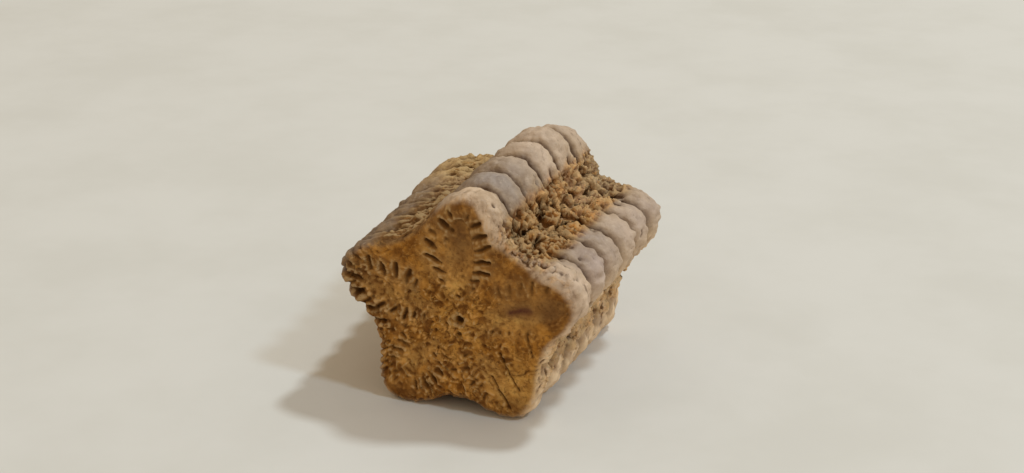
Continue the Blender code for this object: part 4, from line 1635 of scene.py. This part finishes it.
class Nodes:
    """A new material and its shader nodes."""

    def __init__(self, name: str) -> None:
        """Make the material, ready to be wired."""
        self.material = bpy.data.materials.new(name)
        self.material.use_nodes = True
        self.tree = self.material.node_tree
        self.place = self.tree.nodes.new("ShaderNodeTexCoord").outputs["Object"]

    def wire(self, node: bpy.types.Node, **inputs: object) -> bpy.types.Node:
        """Set a node's inputs to values, or link other nodes' sockets to them.

        Args:
            node: The node.
            **inputs: Values or sockets by input name, with _ for a space.

        Returns:
            The same node.
        """
        for name, value in inputs.items():
            self.put(node.inputs[name.replace("_", " ")], value)
        return node

    def put(self, socket: bpy.types.NodeSocket, value: object) -> None:
        """Set a socket's value, or link another socket to it."""
        if isinstance(value, bpy.types.NodeSocket):
            self.tree.links.new(value, socket)
        else:
            socket.default_value = value

    def add(self, kind: str, **inputs: object) -> bpy.types.Node:
        """Add a node of a kind and wire its inputs."""
        return self.wire(self.tree.nodes.new(kind), **inputs)

    def finish(self, **inputs: object) -> bpy.types.Material:
        """Wire the surface's own inputs and return the material."""
        self.wire(self.tree.nodes["Principled BSDF"], **inputs)
        return self.material

    def mask(self, name: str, strength: float = 1.0) -> bpy.types.NodeSocket:
        """Read one of the mesh's masks, weakened by a strength."""
        node = self.tree.nodes.new("ShaderNodeAttribute")
        node.attribute_name = name
        return node.outputs["Fac"] if strength == 1.0 else self.times(node.outputs["Fac"], strength)

    def math(self, operation: str, first: object, second: object = 0.0) -> bpy.types.NodeSocket:
        """Combine two numbers or sockets by an operation."""
        node = self.tree.nodes.new("ShaderNodeMath")
        node.operation = operation
        for socket, value in zip(node.inputs, (first, second)):
            self.put(socket, value)
        return node.outputs[0]

    def times(self, first: object, second: object) -> bpy.types.NodeSocket:
        """Multiply two numbers or sockets."""
        return self.math("MULTIPLY", first, second)

    def less(self, whole: float, name: str, strength: float) -> bpy.types.NodeSocket:
        """Take a mask, weakened by a strength, from a number."""
        return self.math("SUBTRACT", whole, self.mask(name, strength))

    def noise(self, size: float, detail: float = 3.0, roughness: float = 0.5) -> bpy.types.NodeSocket:
        """Make noise about 0.5.

        Args:
            size: Real size of the largest features.
            detail: How many finer octaves.
            roughness: How strong they are.

        Returns:
            The noise.
        """
        node = self.add("ShaderNodeTexNoise", Vector=self.place, Scale=1.0 / size, Detail=detail, Roughness=roughness)
        return node.outputs["Fac"]

    def ramp(self, value: bpy.types.NodeSocket, low: float, high: float) -> bpy.types.NodeSocket:
        """Map low to 0 and high to 1, smoothly."""
        node = self.add("ShaderNodeMapRange", Value=value, From_Min=low, From_Max=high)
        node.interpolation_type = "SMOOTHSTEP"
        return node.outputs["Result"]

    def blend(self, share: object, first: object, second: object) -> bpy.types.NodeSocket:
        """Mix two colours, or sockets of colour, by the share of the second."""
        node = self.tree.nodes.new("ShaderNodeMix")
        node.data_type = "RGBA"
        first, second = (colour if isinstance(colour, bpy.types.NodeSocket) else (*colour, 1.0)
                         for colour in (first, second))
        return self.wire(node, Factor=share, A=first, B=second).outputs["Result"]

    def tint(self, colour: bpy.types.NodeSocket, tints: Tints) -> bpy.types.NodeSocket:
        """Lay colours over another, each where its mask is and as strongly as its number says."""
        for name, strength, over in tints:
            colour = self.blend(self.mask(name, strength), colour, over)
        return colour

    def bump(self, height: bpy.types.NodeSocket, distance: float, strength: object = 1.0,
             under: bpy.types.NodeSocket | None = None) -> bpy.types.NodeSocket:
        """Raise a bump.

        Args:
            height: Its height, from 0 to 1.
            distance: What a height of 1 stands for.
            strength: How strong it is.
            under: The normal of the bumps under it.

        Returns:
            The bumped normal.
        """
        lower = {} if under is None else {"Normal": under}
        node = self.add("ShaderNodeBump", Height=height, Distance=distance, Strength=strength, **lower)
        return node.outputs["Normal"]


@dataclass(frozen=True)
class Coat:
    """One colour zone of the stone: where it lies, its two mottled colours and the size of the mottling."""

    mask: str
    light: Colour
    dark: Colour
    mottle: float
    strength: float = 1.0


@dataclass(frozen=True)
class StoneFinish:
    """The stone's finish: mottled zones of colour, painted shade in its hollows, pale worn edges that are partly a
    painted highlight, and a fine bump.
    """

    body: Coat = Coat("body", (0.40, 0.25, 0.12), (0.25, 0.14, 0.055), 0.7 * MM)
    coats: tuple[Coat, ...] = (
        Coat("lobe", (0.55, 0.40, 0.28), (0.38, 0.265, 0.18), 0.6 * MM, 0.95),
        Coat("blue", (0.38, 0.315, 0.28), (0.27, 0.215, 0.19), 0.5 * MM, 0.85),
        Coat("lilac", (0.56, 0.43, 0.385), (0.43, 0.32, 0.285), 0.5 * MM, 0.8),
        Coat("matrix", (0.43, 0.156, 0.030), (0.14, 0.042, 0.007), 0.40 * MM, 0.92),
        Coat("brown", (0.235, 0.128, 0.046), (0.095, 0.046, 0.015), 0.45 * MM, 0.75),
        Coat("sand", (1.00, 0.75, 0.49), (0.80, 0.55, 0.32), 0.4 * MM, 0.93),
        Coat("crust", (0.66, 0.43, 0.185), (0.42, 0.245, 0.085), 0.4 * MM, 0.9),
        Coat("buff", (0.80, 0.58, 0.40), (0.54, 0.37, 0.235), 0.5 * MM, 0.9),
        Coat("cream", (0.72, 0.53, 0.39), (0.53, 0.385, 0.275), 0.4 * MM, 0.8),
        Coat("face", (0.49, 0.210, 0.034), (0.19, 0.068, 0.010), 0.60 * MM, 1.0),
        Coat("floor", (0.52, 0.290, 0.095), (0.34, 0.170, 0.050), 0.5 * MM, 0.65),
        Coat("gold", (0.80, 0.46, 0.130), (0.52, 0.260, 0.062), 0.35 * MM, 0.85),
    )
    # Pale crests of the star face and crumbs of the matrix: the stone's paler grain, partly a painted highlight on the
    # relief's high places.
    crest: Colour = (0.78, 0.39, 0.100)
    crumb: Colour = (0.84, 0.40, 0.115)
    # The colour of the dark spots on the star face: stains, and painted shade over the right petal.
    stain_and_painted_shade: Colour = (0.12, 0.050, 0.018)
    # Painted shade: the dark colour laid in hollows, creases, slots, notches, pits, the canal and scratches.
    hollow: Colour = (0.075, 0.030, 0.008)
    # Painted shade: the dark brown laid in the low places of the crumbly relief and between blocks.
    painted_pore_shade: Colour = (0.170, 0.060, 0.012)
    seam: Colour = (0.24, 0.135, 0.060)
    streak: Colour = (0.085, 0.020, 0.020)
    freckle: Colour = (0.66, 0.52, 0.40)
    ridge: Colour = (0.46, 0.285, 0.120)
    # Pale worn edges where the relief bulges: wear, partly a painted highlight.
    worn: Colour = (0.62, 0.43, 0.22)

    def make(self) -> bpy.types.Material:
        """Make the material.

        Returns:
            The finished material.
        """
        nodes = Nodes("fossil_stone")
        colour = self._mottle(nodes, self.body)
        for coat in self.coats:
            colour = nodes.blend(nodes.mask(coat.mask, coat.strength), colour, self._mottle(nodes, coat))
        colour = self._painted_shade_and_marks(nodes, self._fine_grain(nodes, colour))
        # Pale worn edges where the relief bulges (cavity below zero), partly a painted highlight, weaker on the arms.
        open_grain = nodes.times(nodes.less(1.0, "lobe", 0.8), 0.5)
        edges = nodes.times(nodes.ramp(nodes.mask("cavity"), -0.15, -0.9), open_grain)
        mottled = nodes.math("ADD", nodes.times(nodes.noise(0.3 * MM), 0.16), 0.74)
        return nodes.finish(
            Base_Color=nodes.blend(edges, colour, self.worn),
            Roughness=nodes.math("SUBTRACT", mottled, nodes.mask("lobe", 0.18)),
            Specular_IOR_Level=nodes.math("ADD", nodes.mask("lobe", 0.26), 0.08),
            Normal=self._bump(nodes),
        )

    def _painted_shade_and_marks(self, nodes: Nodes, colour: bpy.types.NodeSocket) -> bpy.types.NodeSocket:
        """Lay the dark spots, the painted shade in the hollows and the pale crests, partly a painted highlight, over
        the coats.

        Args:
            nodes: The material's nodes.
            colour: The colour under them.

        Returns:
            The colour with them.
        """
        # Dark spots: stains, and painted shade over the right petal.
        colour = nodes.tint(colour, (("stain_and_painted_shade", 0.75, self.stain_and_painted_shade),))
        # Painted shade: fine dark flecks, then the sharp and the broad hollows of the relief.
        shadows = (
            nodes.times(nodes.ramp(nodes.noise(0.12 * MM, 4.0, 0.6), 0.50, 0.36), nodes.less(0.35, "lobe", 0.30)),
            nodes.times(nodes.ramp(nodes.mask("cavity"), 0.12, 0.95), 0.85),
            nodes.times(nodes.ramp(nodes.mask("hollow"), 0.15, 1.0), 0.5),
        )
        for shadow in shadows:
            colour = nodes.blend(shadow, colour, self.hollow)
        # The pale crests are partly a painted highlight and the gaps get painted shade; ridges and seams are the
        # stone's own tone.
        colour = nodes.tint(colour, (
            ("ridge", 0.55, self.ridge), ("crest", 0.66, self.crest), ("gap", 0.75, self.painted_pore_shade),
            ("seam", 0.60, self.seam),
        ))
        # Pale crumbs on the matrix's crests, partly a painted highlight.
        crumbs = nodes.times(nodes.mask("crumb"), nodes.less(0.62, "brown", 0.52))
        # Painted shade in the deep gaps, slots, notches, holes, canal, shade band and scratches; the sutures get a dark
        # joint colour that is partly painted shade in the crease.
        return nodes.tint(nodes.blend(crumbs, colour, self.crumb), (
            ("deep", 0.85, self.painted_pore_shade), ("slotted", 0.60, self.hollow), ("notched", 0.60, self.hollow),
            ("holes", 0.80, self.hollow), ("suture", 0.72, self.hollow), ("lumen", 0.85, self.hollow),
            ("painted_shade_band", 0.22, self.hollow), ("scratched", 0.55, self.hollow), ("streak", 0.75, self.streak),
        ))

    def _fine_grain(self, nodes: Nodes, colour: bpy.types.NodeSocket) -> bpy.types.NodeSocket:
        """Lay the finest pale threads and dark pores over the star face, the matrix and, faintly, the arms: the pores
        are painted shade in the fine bump's low spots, and the pale crumbs and threads on its high spots are partly a
        painted highlight.

        Args:
            nodes: The material's nodes.
            colour: The colour under them.

        Returns:
            The colour with them.
        """
        crumbs = self._crumbs(nodes)
        # The crumbs noise is also the crumbly bump's height: painted shade goes in its low spots, and pale crumbs and
        # threads on its high spots, partly a painted highlight; the freckles are the arms' own tone.
        specks = (
            (nodes.ramp(crumbs, 0.50, 0.38), "porous", nodes.less(0.85, "sand", 0.60), self.painted_pore_shade),
            (nodes.ramp(crumbs, 0.54, 0.68), "porous", 0.55, self.crumb),
            (self._threads(nodes), "grainy", 0.55, self.crest),
            (nodes.ramp(crumbs, 0.46, 0.34), "grainy", 0.70, self.painted_pore_shade),
            (nodes.ramp(nodes.noise(0.20 * MM, 3.0, 0.6), 0.56, 0.70), "lobe", 0.35, self.freckle),
        )
        for share, mask, strength, over in specks:
            colour = nodes.blend(nodes.times(nodes.times(share, nodes.mask(mask)), strength), colour, over)
        return colour

    @staticmethod
    def _crumbs(nodes: Nodes) -> bpy.types.NodeSocket:
        """Return the noise of the finest crumbs."""
        return nodes.noise(0.24 * MM, 4.0, 0.62)

    @staticmethod
    def _threads(nodes: Nodes) -> bpy.types.NodeSocket:
        """Return 1 along thin worm-like threads, broken up into short strokes."""
        level = nodes.math("ABSOLUTE", nodes.math("SUBTRACT", nodes.noise(0.42 * MM, 2.0), 0.5))
        return nodes.times(nodes.ramp(level, 0.035, 0.012), nodes.ramp(nodes.noise(0.30 * MM, 2.0), 0.42, 0.52))

    @staticmethod
    def _mottle(nodes: Nodes, coat: Coat) -> bpy.types.NodeSocket:
        """Mix a coat's two colours by noise of its own size."""
        return nodes.blend(nodes.ramp(nodes.noise(coat.mottle, 5.0, 0.6), 0.34, 0.66), coat.light, coat.dark)

    def _bump(self, nodes: Nodes) -> bpy.types.NodeSocket:
        """Make five layers of bump, from crumbs and threads to the finest grain, and return the normal."""
        crumbly = nodes.math("MAXIMUM", nodes.mask("porous"), nodes.mask("grainy", 0.7))
        normal = None
        for height, distance, strength in (
                (self._crumbs(nodes), 0.16 * MM, crumbly),
                (self._threads(nodes), 0.035 * MM, nodes.mask("grainy")),
                (nodes.noise(0.30 * MM, 2.0), 0.07 * MM, nodes.mask("lobe")),
                (nodes.noise(0.11 * MM, 4.0, 0.6), 0.035 * MM, nodes.less(1.0, "lobe", 0.4)),
                (nodes.noise(0.04 * MM, 3.0, 0.6), 0.012 * MM, 0.6)):
            normal = nodes.bump(height, distance, strength, normal)
        return normal


@dataclass(frozen=True)
class GrainFinish:
    """The sand grains' finish: deep brown for grains low down and pale tan for those on the crests, partly painted
    shade and painted highlight, with a few of them grey.
    """

    # The low and high colours follow where each grain sits: partly painted shade low down and painted highlight on the
    # crests.
    low: Colour = (0.22, 0.10, 0.025)
    middle: Colour = (0.44, 0.225, 0.065)
    high: Colour = (0.66, 0.39, 0.155)
    grey: Colour = (0.40, 0.33, 0.28)
    bright: Colour = (0.78, 0.55, 0.32)

    def make(self, name: str) -> bpy.types.Material:
        """Make the material.

        Args:
            name: The bed it is for.

        Returns:
            The finished material.
        """
        nodes = Nodes(name)
        patch = nodes.times(nodes.math("SUBTRACT", nodes.noise(0.9 * MM), 0.5), 1.4)
        tone_and_painted_light = nodes.math("ADD", nodes.mask("tone_and_painted_light"), patch)
        colour = nodes.blend(nodes.ramp(tone_and_painted_light, 0.0, 0.55), self.low, self.middle)
        colour = nodes.blend(nodes.ramp(tone_and_painted_light, 0.45, 1.1), colour, self.high)
        colour = nodes.tint(colour, (("grey", 0.6, self.grey), ("sand", 0.6, self.bright)))
        speckle = nodes.times(nodes.ramp(nodes.noise(0.08 * MM), 0.5, 0.35), 0.4)
        return nodes.finish(Base_Color=nodes.blend(speckle, colour, self.low), Roughness=0.8, Specular_IOR_Level=0.08,
                            Normal=nodes.bump(nodes.noise(0.06 * MM), 0.03 * MM))


@dataclass(frozen=True)
class PaperFinish:
    """The pale surface that the stone lies on."""

    colour: Colour = (0.74, 0.705, 0.655)
    shade: Colour = (0.70, 0.665, 0.61)

    def make(self) -> bpy.types.Material:
        """Make the material.

        Returns:
            The finished material.
        """
        nodes = Nodes("pale_paper")
        share = nodes.ramp(nodes.noise(9.0 * MM, 4.0, 0.6), 0.35, 0.7)
        return nodes.finish(Base_Color=nodes.blend(share, self.colour, self.shade), Roughness=0.9,
                            Specular_IOR_Level=0.2)


@dataclass(frozen=True)
class Lamp:
    """A soft round lamp: which way it hangs from the stone and how far, its size, its power and its colour."""

    name: str
    way: tuple[float, float, float]
    distance: float
    size: float
    power: float
    colour: Colour


@dataclass
class Studio:
    """Floor, lamps and camera."""

    floor_size: float = 2.0
    camera_place: tuple[float, float, float] = (21.97 * MM, -54.05 * MM, 28.65 * MM)
    camera_turn: float = 21.742
    camera_tilt: float = 21.870
    camera_lens: float = 56.53
    sensor: float = 36.0
    look_at: tuple[float, float, float] = (0.0, 0.0, 4.0 * MM)
    ambient: Colour = (0.50, 0.42, 0.31)
    lamps: tuple[Lamp, ...] = (
        Lamp("window", (0.33, 0.40, 1.0), 0.50, 50.0 * MM, 1.00, (0.80, 0.93, 1.0)),
        Lamp("lantern", (0.85, -0.20, 1.0), 0.50, 60.0 * MM, 0.60, (0.62, 0.82, 1.0)),
    )

    def build(self) -> None:
        """Set up the floor, the lamps, the light of the room and the camera."""
        self._floor()
        for lamp in self.lamps:
            self._lamp(lamp)
        self._room()
        self._camera()
        bpy.context.scene.view_settings.view_transform = "Standard"

    def _floor(self) -> None:
        """Lay the pale floor."""
        half = 0.5 * self.floor_size
        mesh = bpy.data.meshes.new("pale_floor")
        mesh.from_pydata([(-half, -half, 0.0), (half, -half, 0.0), (half, half, 0.0), (-half, half, 0.0)], [],
                         [(0, 1, 2, 3)])
        mesh.materials.append(PaperFinish().make())
        floor = show("pale_floor", mesh)

    def _lamp(self, lamp: Lamp) -> None:
        """Hang one soft lamp, aimed at the stone."""
        light = bpy.data.lights.new(lamp.name, "AREA")
        light.shape = "DISK"
        light.size = lamp.size
        light.energy = lamp.power
        light.color = lamp.colour
        hung = show(lamp.name, light)
        way = Vector(lamp.way).normalized()
        hung.location = Vector(self.look_at) + lamp.distance * way
        hung.rotation_euler = way.to_track_quat("Z", "Y").to_euler()

    def _room(self) -> None:
        """Set the even light of the room."""
        world = bpy.data.worlds.new("room")
        world.use_nodes = True
        background = world.node_tree.nodes["Background"]
        background.inputs["Color"].default_value = (*self.ambient, 1.0)
        bpy.context.scene.world = world

    def _camera(self) -> None:
        """Set the camera."""
        camera = bpy.data.cameras.new("camera")
        camera.sensor_width = self.sensor
        camera.lens = self.camera_lens
        camera.clip_start = 1.0 * MM
        camera.clip_end = 10.0
        held = show("camera", camera)
        turn = Matrix.Rotation(math.radians(self.camera_turn), 4, "Z")
        tilt = Matrix.Rotation(math.radians(90.0 - self.camera_tilt), 4, "X")
        held.matrix_world = Matrix.Translation(Vector(self.camera_place)) @ turn @ tilt
        bpy.context.scene.camera = held


def main() -> None:
    """Build the stone and its surroundings, and report each piece."""
    logging.basicConfig(level=logging.INFO, format="%(name)s: %(message)s")
    stone, skin = FossilStem().build()
    LOG.info("built %s with %d faces", stone.name, len(stone.data.polygons))
    for grains in grain_beds():
        bed = grains.build(skin)
        LOG.info("strewed %s with %d faces", bed.name, len(bed.data.polygons))
    Studio().build()
    LOG.info("set up the floor, the lamps and the camera")


if __name__ == "__main__":
    main()
